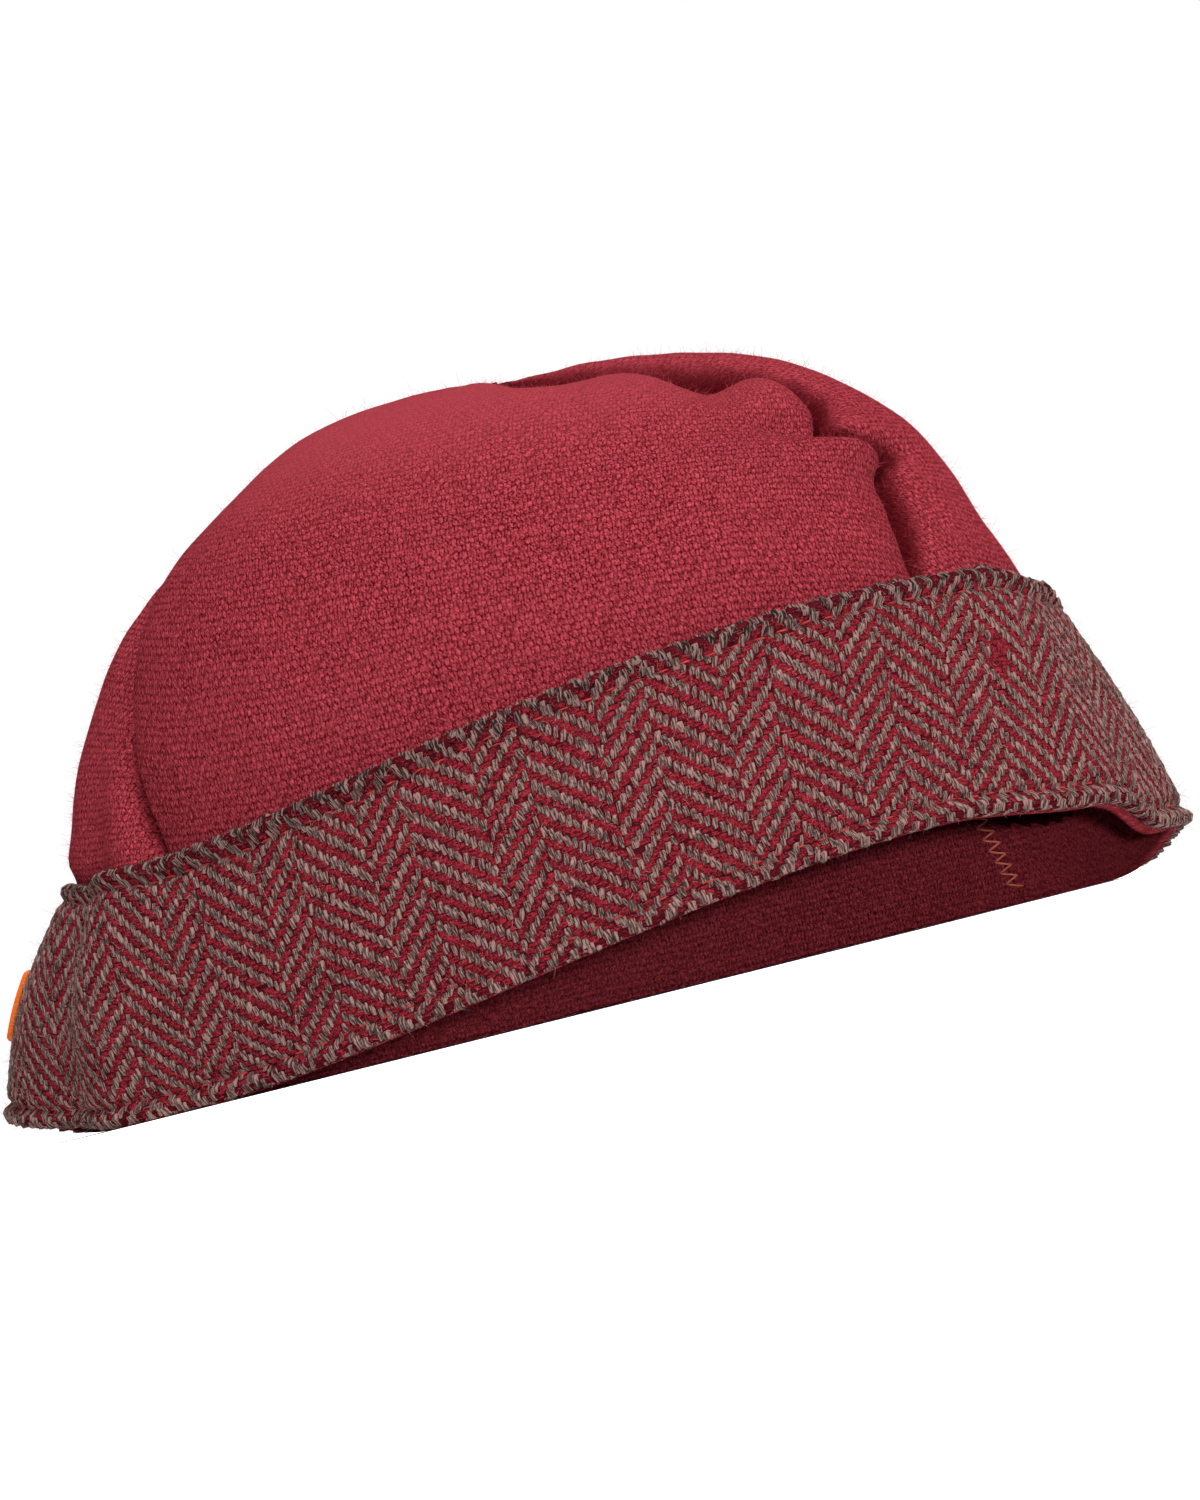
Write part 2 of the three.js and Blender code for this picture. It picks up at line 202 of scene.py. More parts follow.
def sumOfFolds(rows, azimuth, height):
    total = 0
    for fold in rows:
        rise = height - fold["height"]
        across = angleBetween(azimuth, fold["azimuth"] + fold.get("lean", 0) * rise) / fold["halfAngle"]
        total = total + fold["depth"] * np.exp(-across ** 2 - (rise / fold["halfHeight"]) ** 2)
    return total


def capPoint(azimuth, rise, out):
    azimuth, rise, out = np.broadcast_arrays(np.asarray(azimuth, float), rise, out)
    distance = out + sumOfFolds(folds, azimuth, sectionAt(rise)["height"])
    return formPoint(azimuth, rise) + outward(azimuth, rise) * distance[..., None]


def seamAzimuth(name, rise, swerved=True):
    seam = seams[name]
    rest = 1 - rise
    height = sectionAt(rise)["height"]
    azimuth = seam["rim"] * rest ** 2 + 2 * seam["bend"] * rest * rise + seam["top"] * rise ** 2
    for swerve in seamSwerves:
        if swerved and swerve["seam"] == name:
            above = (height - swerve["height"]) / swerve["halfHeight"]
            azimuth = azimuth + swerve["degrees"] * np.exp(-above ** 2)
    return azimuth


def goreLimits(gore, rise, swerved=True):
    start = seamAzimuth(gore["from"], rise, swerved)
    stop = seamAzimuth(gore["to"], rise, swerved)
    return start, np.where(stop < start, stop + 360, stop)


def softNoise(u, v, scale, seed, count=7):
    waves = np.random.default_rng(seed)  # a few crossing waves make slow, uneven ground
    turns, stretches = waves.uniform(0, np.pi, count), waves.uniform(0.6, 1.5, count)
    phases = waves.uniform(0, 6, count)
    total = 0
    for turn, stretch, phase in zip(turns, stretches, phases):
        along = u * np.cos(turn) + v * np.sin(turn)
        total = total + np.sin(along * 2 * np.pi / scale * stretch + phase)
    return total / count


# Meshes

def gridQuads(rows, columns, ring=False):
    steps = columns if ring else columns - 1
    row, step = np.meshgrid(np.arange(rows - 1), np.arange(steps), indexing="ij")
    after = (step + 1) % columns
    low, high = row * columns, (row + 1) * columns
    return np.stack([low + step, low + after, high + after, high + step], -1).reshape(-1, 4)


def repeatQuads(quads, count, pointsEach):
    return (quads[None] + (np.arange(count) * pointsEach)[:, None, None]).reshape(-1, 4)


def wallQuads(rows, columns):
    # outer grid, inner grid behind it, and the strips that close their edges
    outer = gridQuads(rows, columns)
    behind = rows * columns
    steps, low = np.arange(columns - 1), np.arange(rows - 1) * columns
    after, high = steps + 1, low + columns
    top, last = (rows - 1) * columns, columns - 1
    return np.concatenate([
        outer, outer[:, ::-1] + behind,
        np.stack([after, steps, steps + behind, after + behind], -1),
        np.stack([top + steps, top + after, top + after + behind, top + steps + behind], -1),
        np.stack([low, high, high + behind, low + behind], -1),
        np.stack([high + last, low + last, low + last + behind, high + last + behind], -1),
    ])


def ringAngles(sides):
    return np.arange(sides) * 2 * np.pi / sides


def meshPiece(name, points, quads, material, uv, tone=None, replaces=None):
    points, uv = np.asarray(points).reshape(-1, 3), np.asarray(uv, np.float32).reshape(-1, 2)
    mesh = bpy.data.meshes.new(name)
    mesh.vertices.add(len(points))
    mesh.vertices.foreach_set("co", (points * metre).astype(np.float32).ravel())
    corners = np.asarray(quads, np.int32).ravel()
    mesh.loops.add(len(corners))
    mesh.loops.foreach_set("vertex_index", corners)
    mesh.polygons.add(len(quads))
    mesh.polygons.foreach_set("loop_start", np.arange(0, len(corners), 4, dtype=np.int32))
    mesh.polygons.foreach_set("use_smooth", np.ones(len(quads), bool))
    mesh.uv_layers.new(name="clothMap").data.foreach_set("uv", uv[corners].ravel())
    if tone is not None:
        layer = mesh.attributes.new("tone", "FLOAT", "POINT")
        layer.data.foreach_set("value", np.asarray(tone, np.float32))
    mesh.update(calc_edges=True)
    mesh.validate()
    mesh.materials.append(material)
    piece = bpy.data.objects.new(name, mesh)
    scene.collection.objects.link(piece)
    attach(piece, "root")
    if replaces:
        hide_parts(replaces)
    return piece


# Materials

def setSocket(tree, socket, value):
    if isinstance(value, bpy.types.NodeSocket):
        tree.links.new(value, socket)
    elif socket.type == "RGBA":
        socket.default_value = (*value, 1)
    else:
        socket.default_value = value


def addNode(tree, kind, inputs=None, **settings):
    made = tree.nodes.new(kind)
    for key, value in settings.items():
        setattr(made, key, value)
    for key, value in (inputs or {}).items():
        setSocket(tree, made.inputs[key], value)
    return made


def calc(tree, operation, a, b=0.0, c=0.0):
    return addNode(tree, "ShaderNodeMath", {0: a, 1: b, 2: c}, operation=operation).outputs[0]


def vectorCalc(tree, operation, a, b=(0, 0, 0)):
    return addNode(tree, "ShaderNodeVectorMath", {0: a, 1: b}, operation=operation).outputs[0]


def vectorScale(tree, vector, share):
    return addNode(tree, "ShaderNodeVectorMath", {0: vector, "Scale": share}, operation="SCALE").outputs[0]


def splitVector(tree, vector):
    return addNode(tree, "ShaderNodeSeparateXYZ", {0: vector}).outputs


def joinVector(tree, x, y):
    return addNode(tree, "ShaderNodeCombineXYZ", {0: x, 1: y}).outputs[0]


def remap(tree, value, low, high, toLow=0.0, toHigh=1.0):
    inputs = {"Value": value, "From Min": low, "From Max": high, "To Min": toLow, "To Max": toHigh}
    return addNode(tree, "ShaderNodeMapRange", inputs, interpolation_type="SMOOTHSTEP").outputs["Result"]


def mixColour(tree, share, first, second):
    made = addNode(tree, "ShaderNodeMix", {0: share}, data_type="RGBA")
    ends = [socket for socket in made.inputs if socket.type == "RGBA"]
    setSocket(tree, ends[0], first)
    setSocket(tree, ends[1], second)
    return next(socket for socket in made.outputs if socket.type == "RGBA")


def noise(tree, place, scale, detail=2.0, roughness=0.5, distortion=0.0):
    inputs = {"Vector": place, "Scale": scale, "Detail": detail}
    inputs |= {"Roughness": roughness, "Distortion": distortion}
    return addNode(tree, "ShaderNodeTexNoise", inputs).outputs


def newGroup(name, inputs, outputs):
    tree = bpy.data.node_groups.new(name, "ShaderNodeTree")
    for title, kind in inputs.items():
        tree.interface.new_socket(title, in_out="INPUT", socket_type=f"NodeSocket{kind}")
    for title in outputs:
        tree.interface.new_socket(title, in_out="OUTPUT", socket_type="NodeSocketFloat")
    return tree, tree.nodes.new("NodeGroupInput").outputs, tree.nodes.new("NodeGroupOutput").inputs


def useGroup(tree, group, **inputs):
    return addNode(tree, "ShaderNodeGroup", inputs, node_tree=group).outputs


weaveForm = {  # in units of one thread
    "shakes": [  # how the threads wander, slowly and quickly
        {"scale": 0.05, "detail": 1.0, "far": 5.0},
        {"scale": 0.9, "detail": 3.0, "far": 1.9},
        {"scale": 3.0, "detail": 3.0, "far": 1.1},
    ],
    "yarns": [  # the cross threads lie deeper
        {"way": 1.0, "sunk": 0.0, "thin": 0.28, "dip": 0.09},
        {"way": -1.0, "sunk": 0.32, "thin": 0.1, "dip": 0.0},
    ],
    "yarnStep": 3.7, "setApart": 61.7, "runStretch": 0.45, "uneven": 0.8, "round": 0.58, "wave": 0.42,
    "wound": (1.93, 2.48), "windRun": (0.48, -1.1), "grainShift": 5.0, "windDetail": 1.5, "windRough": 0.6,
    "strand": (0.38, 0.62), "strandHeight": 0.25,
    "deepScale": 1.1, "deep": (0.32, 0.58, 0.3, 1.0), "pitShade": (0.15, 0.8, 1.0, 0.0),
}


def shakeThreads(tree, threads, scale, detail, far):
    shift = vectorCalc(tree, "SUBTRACT", noise(tree, threads, scale, detail)["Color"], (0.5, 0.5, 0.5))
    return vectorScale(tree, shift, far)


def weaveYarn(tree, axis, place, number, offset, slant):
    # the height of the yarns of one set, that pass over and under those of the other
    yarn, along = weaveForm["yarns"][axis], place[1 - axis]
    seat = calc(tree, "MULTIPLY_ADD", number[axis], weaveForm["yarnStep"], weaveForm["setApart"] * axis)
    run = joinVector(tree, seat, calc(tree, "MULTIPLY", along, weaveForm["runStretch"]))
    half = calc(tree, "MULTIPLY_ADD", noise(tree, run, 1.0)["Fac"], weaveForm["uneven"], yarn["thin"])
    turned = calc(tree, "MULTIPLY", offset[1 - axis], slant)
    across = calc(tree, "DIVIDE", calc(tree, "ADD", offset[axis], turned), half)
    body = calc(tree, "MULTIPLY_ADD", across, calc(tree, "MULTIPLY", across, -1.0), 1.0)
    body = calc(tree, "SQRT", calc(tree, "MAXIMUM", body, 0.0))
    body = calc(tree, "MULTIPLY_ADD", body, weaveForm["round"], -yarn["sunk"] - yarn["dip"])
    turn = calc(tree, "ADD", calc(tree, "SUBTRACT", along, 0.5), number[axis])
    wave = calc(tree, "COSINE", calc(tree, "MULTIPLY", turn, math.pi))
    # a yarn dips where it dives
    body = calc(tree, "MULTIPLY_ADD", calc(tree, "ABSOLUTE", wave), yarn["dip"], body)
    return calc(tree, "MULTIPLY_ADD", wave, weaveForm["wave"] * yarn["way"], body)


def makePlainWeave():
    # two sets of yarns, of which the higher one shows
    inputs = {"Threads": "Vector", "Wobble": "Float", "Slant": "Float"}
    tree, given, result = newGroup("plainWeave", inputs, ["Height", "PitShade", "Grain", "Strand"])
    threads = given["Threads"]
    slow, quick, ragged = (shakeThreads(tree, threads, **shake) for shake in weaveForm["shakes"])
    drift = vectorCalc(tree, "ADD", vectorCalc(tree, "ADD", slow, quick), ragged)
    drift = vectorScale(tree, drift, given["Wobble"])
    place = splitVector(tree, vectorCalc(tree, "ADD", threads, drift))
    number = [calc(tree, "FLOOR", place[axis]) for axis in (0, 1)]
    offset = [calc(tree, "SUBTRACT", calc(tree, "FRACT", place[axis]), 0.5) for axis in (0, 1)]
    sets = [weaveYarn(tree, axis, place, number, offset, given["Slant"]) for axis in (0, 1)]
    height = calc(tree, "MAXIMUM", *sets)
    inputs = {"Vector": joinVector(tree, *number)}
    grain = addNode(tree, "ShaderNodeTexWhiteNoise", inputs, noise_dimensions="2D").outputs["Value"]
    # fibres wound round the yarns
    x, y, _ = splitVector(tree, threads)
    wound = calc(tree, "MULTIPLY", grain, weaveForm["grainShift"])
    wound = calc(tree, "MULTIPLY_ADD", y, weaveForm["wound"][1], wound)
    wound = calc(tree, "MULTIPLY_ADD", x, weaveForm["wound"][0], wound)
    run = calc(tree, "MULTIPLY", y, weaveForm["windRun"][1])
    run = calc(tree, "MULTIPLY_ADD", x, weaveForm["windRun"][0], run)
    seat = joinVector(tree, wound, run)
    strand = noise(tree, seat, 1.0, weaveForm["windDetail"], weaveForm["windRough"])["Fac"]
    strand = remap(tree, strand, *weaveForm["strand"])
    # painted shade in the weave's hollows: the lower the yarns, the darker the colour, more so in patches
    deep = remap(tree, noise(tree, threads, weaveForm["deepScale"])["Fac"], *weaveForm["deep"])
    pitShade = calc(tree, "MULTIPLY", remap(tree, height, *weaveForm["pitShade"]), deep)
    tree.links.new(calc(tree, "MULTIPLY_ADD", strand, weaveForm["strandHeight"], height), result["Height"])
    tree.links.new(pitShade, result["PitShade"])
    tree.links.new(grain, result["Grain"])
    tree.links.new(strand, result["Strand"])
    return tree


woolForm = {  # each noise's scale, detail, roughness and distortion, and the stretch of it that counts
    "Heather": {"noise": (3.0, 1.5, 0.6), "stretch": (0.35, 0.65)},
    "Fleck": {"noise": (0.85, 3.0, 0.5, 2.5), "stretch": (0.66, 0.76)},
    "Fuzz": {"noise": (2.6, 4.0, 0.7, 1.2)},
    "Patch": {"noise": (0.055, 3.0), "stretch": (0.3, 0.7)},
}


def makeWoolFibre():
    # loose fibres and heathered dye, by the place in millimetres
    tree, given, result = newGroup("woolFibre", {"Place": "Vector"}, woolForm)
    for title, form in woolForm.items():
        value = noise(tree, given["Place"], *form["noise"])["Fac"]
        if "stretch" in form:
            value = remap(tree, value, *form["stretch"])
        tree.links.new(value, result[title])
    return tree


twistForm = {"turn": -0.3, "across": 3.9, "along": 0.3, "noise": (1.5, 2.0, 0.6), "streak": (0.46, 0.58)}


def makeYarnTwist():
    # fibres that wind round a yarn, by millimetres along it and its share across
    tree, given, result = newGroup("yarnTwist", {"Run": "Vector"}, ["Height", "Streak"])
    along, across, _ = splitVector(tree, given["Run"])
    wound = calc(tree, "MULTIPLY", across, twistForm["across"])
    wound = calc(tree, "MULTIPLY_ADD", along, twistForm["turn"], wound)
    seat = joinVector(tree, calc(tree, "MULTIPLY", along, twistForm["along"]), wound)
    streak = noise(tree, seat, *twistForm["noise"])["Fac"]
    # the same noise raises the strands and sets their colour: the streaks are partly the fibres' own
    # mottling, partly painted shade between the strands and painted highlight on them
    tree.links.new(streak, result["Height"])
    tree.links.new(remap(tree, streak, *twistForm["streak"]), result["Streak"])
    return tree


plainWeave = makePlainWeave()
woolFibre = makeWoolFibre()
yarnTwist = makeYarnTwist()


def newMaterial(name, roughness=0.95, sheen=0.0, sheenTint=(1, 1, 1)):
    material = bpy.data.materials.new(name)
    material.use_nodes = True
    tree = material.node_tree
    shader = tree.nodes["Principled BSDF"]
    finish = {"Roughness": roughness, "Specular IOR Level": 0.0, "Sheen Weight": sheen}
    finish |= {"Sheen Roughness": 0.45, "Sheen Tint": sheenTint}
    for title, value in finish.items():
        setSocket(tree, shader.inputs[title], value)
    return material, tree, shader


def clothInputs(tree):
    # millimetres on the cut cloth or along the yarn, millimetres in space, and the piece's tone, which holds
    # each yarn's own tone and the painted shade beside the seams and along the band's top
    cut = addNode(tree, "ShaderNodeUVMap", uv_map="clothMap").outputs["UV"]
    place = addNode(tree, "ShaderNodeTexCoord").outputs["Object"]
    place = vectorCalc(tree, "MULTIPLY", place, (1 / metre,) * 3)
    tone = addNode(tree, "ShaderNodeAttribute", attribute_name="tone").outputs["Fac"]
    return cut, place, tone


def flecked(tree, colour, wool, look):
    share = calc(tree, "MULTIPLY", wool["Fleck"], look["fleckShare"])
    return mixColour(tree, share, colour, look["fleck"])


def finishCloth(tree, shader, colour, height, wool, look):
    height = calc(tree, "MULTIPLY_ADD", wool["Fuzz"], look["fuzz"], height)
    inputs = {"Height": height, "Distance": look["relief"] * metre, "Strength": 1.0}
    bump = addNode(tree, "ShaderNodeBump", inputs)
    tree.links.new(bump.outputs["Normal"], shader.inputs["Normal"])
    tree.links.new(colour, shader.inputs["Base Color"])


wovenShares = {"grain": 0.15, "heather": 0.35, "strand": 0.5, "napFlat": 0.8}


def wovenMaterial(name, look):
    material, tree, shader = newMaterial(name, sheen=look["sheen"], sheenTint=look["sheenTint"])
    cut, place, seamShade = clothInputs(tree)
    threads = vectorCalc(tree, "DIVIDE", cut, (*look["pitch"], 1))
    weave = useGroup(tree, plainWeave, Threads=threads, Wobble=look["wobble"], Slant=look["slant"])
    wool = useGroup(tree, woolFibre, Place=place)
    # the cloth is rubbed smooth at the top, less so to the back
    _, back, up = splitVector(tree, place)
    nap = remap(tree, back, *look["napBack"], *look["nap"])
    nap = calc(tree, "MULTIPLY", remap(tree, up, *look["napUp"]), nap)
    tone = calc(tree, "MULTIPLY", wool["Heather"], wovenShares["heather"])
    tone = calc(tree, "MULTIPLY_ADD", weave["Grain"], wovenShares["grain"], tone)
    # the raised strands are lighter: painted highlight on the fibres
    tone = calc(tree, "MULTIPLY_ADD", weave["Strand"], wovenShares["strand"], tone)
    colour = mixColour(tree, tone, look["dark"], look["light"])
    worn = calc(tree, "MAXIMUM", calc(tree, "MULTIPLY", wool["Patch"], look["patch"]), nap)
    colour = flecked(tree, mixColour(tree, worn, colour, look["worn"]), wool, look)
    # painted shade: the gaps between the threads take the near black gap colour, less where the nap is flat
    gapShadeShare = calc(tree, "MULTIPLY_ADD", nap, -look["gapShadeShare"], look["gapShadeShare"])
    pitShade = calc(tree, "MULTIPLY", weave["PitShade"], gapShadeShare)
    # over nought the colour is darkened towards a seam, painted shade in its crease; under nought, inside
    # the cap, the painted shade in its gaps is fainter
    inner = calc(tree, "ADD", calc(tree, "MINIMUM", seamShade, 0.0), 1.0)
    pitShade = calc(tree, "MAXIMUM", calc(tree, "MULTIPLY", pitShade, inner), seamShade)
    colour = mixColour(tree, pitShade, colour, look["gapShade"])
    height = calc(tree, "MULTIPLY_ADD", nap, -wovenShares["napFlat"], 1.0)
    height = calc(tree, "MULTIPLY", weave["Height"], height)
    finishCloth(tree, shader, colour, height, wool, look)
    return material


def yarnMaterial(name, look):
    material, tree, shader = newMaterial(name, sheen=look["sheen"], sheenTint=look["sheenTint"])
    run, place, ownToneAndShade = clothInputs(tree)
    twist = useGroup(tree, yarnTwist, Run=run)
    wool = useGroup(tree, woolFibre, Place=place)
    streaks, own, heather = look["mix"]
    tone = calc(tree, "MULTIPLY_ADD", twist["Streak"], streaks, calc(tree, "MULTIPLY", ownToneAndShade, own))
    tone = calc(tree, "MULTIPLY_ADD", wool["Heather"], heather, tone)
    colour = flecked(tree, mixColour(tree, tone, look["dark"], look["light"]), wool, look)
    finishCloth(tree, shader, colour, twist["Height"], wool, look)
    return material


crownLook = {
    "pitch": (0.73, 1.25), "wobble": 0.36, "slant": -0.4, "relief": 1.0, "fuzz": 0.8,
    "sheen": 0.01, "sheenTint": (1, 0.3, 0.34), "nap": (0.8, 0.35), "napUp": (82, 107), "napBack": (-14, 4),
    # light, the colour of the raised strands, is the wool's red with a painted sheen of the fibres added, in
    # plainLook too
    "dark": (0.05, 0.0004, 0.0013), "light": (0.42, 0.05, 0.071), "worn": (0.25, 0.032, 0.042), "patch": 0.2,
    # the gap colour is the painted shade between the threads
    "fleck": (0.42, 0.08, 0.08), "fleckShare": 0.3, "gapShade": (0.04, 0.0004, 0.0012), "gapShadeShare": 1.0,
}
# the gores that are handled less
plainLook = {**crownLook, "nap": (0.35, 0.35), "light": (0.45, 0.055, 0.077)}
labelLook = {
    "pitch": (0.35, 0.35), "wobble": 0.1, "slant": 0.2, "relief": 0.12, "fuzz": 0.2,
    "sheen": 0.05, "sheenTint": (1, 0.7, 0.4), "nap": (0.0, 0.0), "napUp": (82, 107), "napBack": (-14, 4),
    "dark": (0.3, 0.045, 0.003), "light": (0.52, 0.088, 0.006), "worn": (0.46, 0.09, 0.012), "patch": 0.3,
    # the gap colour paints shade between the label's threads too
    "fleck": (0.6, 0.2, 0.06), "fleckShare": 0.2, "gapShade": (0.16, 0.02, 0.002), "gapShadeShare": 0.6,
}
plainYarn = {"mix": (0.6, 0.15, 0.25), "fuzz": 0.3, "sheen": 0.0, "sheenTint": (1, 1, 1)}
# each yarn's own tone also carries the painted shade along the band's upper edge
yarnLooks = {  # mix is the share of the twist's streaks, of each yarn's own tone, and of the dye
    "grey_yarn": {
        "mix": (0.74, 0.1, 0.16), "relief": 0.5, "fuzz": 0.7, "sheen": 0.03, "sheenTint": (1, 0.85, 0.78),
        # dark and light hold the painted shade between the strands and the painted highlight on them
        "dark": (0.007, 0.0035, 0.003), "light": (0.19, 0.109, 0.097),
        "fleck": (0.34, 0.28, 0.25), "fleckShare": 0.3,
    },
    "red_yarn": {
        "mix": (0.25, 0.15, 0.6), "relief": 0.5, "fuzz": 1.2, "sheen": 0.03, "sheenTint": (1, 0.3, 0.34),
        "dark": (0.002, 0.0002, 0.0004), "light": (0.215, 0.014, 0.0235),
        "fleck": (0.36, 0.05, 0.06), "fleckShare": 0.4,
    },
    # the ground under the floats is coloured near black: painted shade between the floats
    "ground_yarn_shade": {
        "relief": 0.2, "fuzz": 0.5, "dark": (0.012, 0.001, 0.002), "light": (0.05, 0.004, 0.006),
        "fleck": (0.06, 0.02, 0.02), "fleckShare": 0.1,
    },
    "red_thread": {
        "relief": 0.08, "sheen": 0.04, "sheenTint": (1, 0.5, 0.4), "dark": (0.09, 0.006, 0.007),
        "light": (0.33, 0.035, 0.034), "fleck": (0.55, 0.18, 0.13), "fleckShare": 0.15,
    },
    "tan_thread": {
        "relief": 0.08, "sheen": 0.04, "sheenTint": (1, 0.7, 0.6), "dark": (0.34, 0.075, 0.05),
        "light": (0.56, 0.15, 0.1), "fleck": (0.6, 0.3, 0.2), "fleckShare": 0.15,
    },
    "red_fibre": {
        "relief": 0.01, "dark": (0.2, 0.02, 0.03), "light": (0.42, 0.07, 0.085),
        "fleck": (0.5, 0.2, 0.2), "fleckShare": 0.2,
    },
    "grey_fibre": {
        "relief": 0.01, "dark": (0.1, 0.06, 0.055), "light": (0.36, 0.26, 0.23),
        "fleck": (0.5, 0.4, 0.36), "fleckShare": 0.2,
    },
}
frontWool = wovenMaterial("crown_wool", crownLook)
plainWool = wovenMaterial("crown_wool_plain", plainLook)
labelCloth = wovenMaterial("label_cloth", labelLook)
yarns = {name: yarnMaterial(name, {**plainYarn, **look}) for name, look in yarnLooks.items()}
print("materials ready")


# Loose fibres

fibre = {
    "perGore": 3000, "onBand": 8000, "shortest": 0.35, "longest": 1.25, "radius": 0.024, "taper": 0.6,
    "stray": 0.9, "curl": 0.6, "stations": 3, "sides": 3, "offFloor": 0.03, "pastEdge": 1.5,
    "rootAbove": 0.2,
}


def makeFibres(name, roots, ways, material):
    # a fibre is a thin three-sided rod that leaves the cloth at its root and curls over
    count, sides = len(roots), fibre["sides"]
    t = np.linspace(0, 1, fibre["stations"])
    share = t[None, :, None]
    length = rng.uniform(fibre["shortest"], fibre["longest"], count)[:, None]
    way = unit(ways + rng.normal(0, fibre["stray"], (count, 3))) * length
    curl = rng.normal(0, fibre["curl"], (count, 3)) * length
    spine = roots[:, None] + share * way[:, None] + share ** 2 * curl[:, None]
    side = unit(np.cross(way, curl))
    other = np.cross(way, side) / length
    angle = ringAngles(sides)
    ring = np.cos(angle)[:, None] * side[:, None] + np.sin(angle)[:, None] * other[:, None]
    thick = fibre["radius"] * (1 - fibre["taper"] * t)
    points = spine[:, :, None] + ring[:, None] * thick[:, None, None]
    points[..., 2] = np.maximum(points[..., 2], fibre["offFloor"])
    quads = repeatQuads(gridQuads(len(t), sides, ring=True), count, len(t) * sides)
    along = share * length[:, :, None] + np.zeros((1, 1, sides))
    uv = np.stack([along, np.broadcast_to(angle / np.pi, along.shape)], -1)
    tone = np.repeat(rng.uniform(0, 1, count), len(t) * sides)
    return meshPiece(name, points, quads, material, uv, tone)


# Crown

crown = {
    "columns": {"gore_front": 120, "gore_right": 84, "gore_back": 84, "gore_left": 90}, "rows": 104,
    "edgeCrowding": 0.6, "lumps": 0.3, "lumpSize": 34, "freeFrom": 2, "freeTo": 12, "fibresFrom": 3,
    "pucker": 0.22, "puckerReach": 7, "puckerLength": 8.5, "puckerFrom": 2,
    "crease": 3.2, "creaseReach": 0.8, "creaseEnd": 4, "grainTurn": {"gore_front": 10}, "mapApart": 300,
    # shade, its reaches and its power set the painted shade beside the seams
    "shade": 0.92, "shadeReach": {"frontRight": 3.0}, "otherReach": 1.3, "shadeTucked": 0.5,
    "shadePower": 3, "innerFlat": 0.55, "innerShift": (0.5, 0.5),
}


def crownOut(gore, azimuth, rise, limits, perDegree):
    section = sectionAt(rise)
    height = section["height"]
    start, stop = limits
    across = 2 * (azimuth - start) / (stop - start) - 1
    toSeam = (1 - np.abs(across)) * 0.5 * (stop - start) * perDegree
    full = ramp(height, swellRamp["from"], swellRamp["to"])
    full = full * np.clip(section["halfDepth"] / topEaseRadius, 0, 1)
    swell = gore["swell"] * across ** swellRamp["power"] * full
    puffed = ramp(height, pouf["from"], pouf["to"]) * (1 - ramp(height, pouf["fadeFrom"], pouf["fadeTo"]))
    dented = sumOfFolds(dents, azimuth, height) * ramp(height, dentRamp["from"], dentRamp["to"])
    dented = dented * np.clip(section["halfDepth"] / tipEaseRadius, 0, 1)
    plain = pouf["height"] * puffed * (1 - across ** swellRamp["power"]) - swell + dented
    sideways = section["halfWidth"] * np.sin(np.radians(azimuth))
    sag = waveAt(ridgeSag, "sideways", "sag", sideways) * ramp(height, ridge["from"], ridge["to"])
    sagging = (1 - ramp(toSeam, ridge["full"], ridge["reach"])) * (gore["node"] == ridge["gore"])
    sides = [(across < 0, gore["from"], "reachAfter"), (across >= 0, gore["to"], "reachBefore")]
    out = 0
    for side, name, reach in sides:
        seam = seams[name]
        sagHere = sag * (name == ridge["seam"])
        seamOut = -seam["depth"] * full - sagHere * ridge["share"]
        drawn = np.exp(-toSeam / seam.get(reach, seamReach))
        out = out + side * blend(plain - sagHere * sagging, seamOut, drawn)
    return out, toSeam


def clothMap(gore, azimuth, rise, points):
    # millimetres across and up the cut cloth, from its middle thread and its lower edge
    steps = stepLengths(points, axis=1)
    u = np.concatenate([np.zeros((len(steps), 1)), np.cumsum(steps, axis=1)], axis=1)
    middle = sum(goreLimits(gore, rise, swerved=False)) / 2
    u = u - np.array([np.interp(*row) for row in zip(middle, azimuth, u)])
    thread = [
        [np.interp(at[0], turns, values) for values in level.T]
        for at, turns, level in zip(middle, azimuth, points)
    ]
    v = np.concatenate([[0], np.cumsum(stepLengths(thread))])[:, None] + 0 * u
    return u, v


def turnMap(u, v, degrees):
    turn = math.radians(degrees)
    return np.stack([u * math.cos(turn) - v * math.sin(turn), u * math.sin(turn) + v * math.cos(turn)], -1)


def clothSteps(points):
    across, up = np.diff(points, axis=1)[:-1], np.diff(points, axis=0)[:, :-1]
    return across, up, np.linalg.norm(np.cross(across, up), axis=-1)


def makeGoreFibres(name, outer, way, height):
    # they stand on the cloth above the band
    across, up, patches = clothSteps(outer)
    bare = (height[:-1] > bandTopHeight + crown["fibresFrom"]) * patches
    chosen = rng.choice(bare.size, fibre["perGore"], p=bare.ravel() / bare.sum())
    spot = np.unravel_index(chosen, bare.shape)
    roots = outer[spot] + across[spot] * rng.uniform(0, 1, (len(chosen), 1))
    roots = roots + up[spot] * rng.uniform(0, 1, (len(chosen), 1))
    return makeFibres(name, roots, way[spot], yarns["red_fibre"])


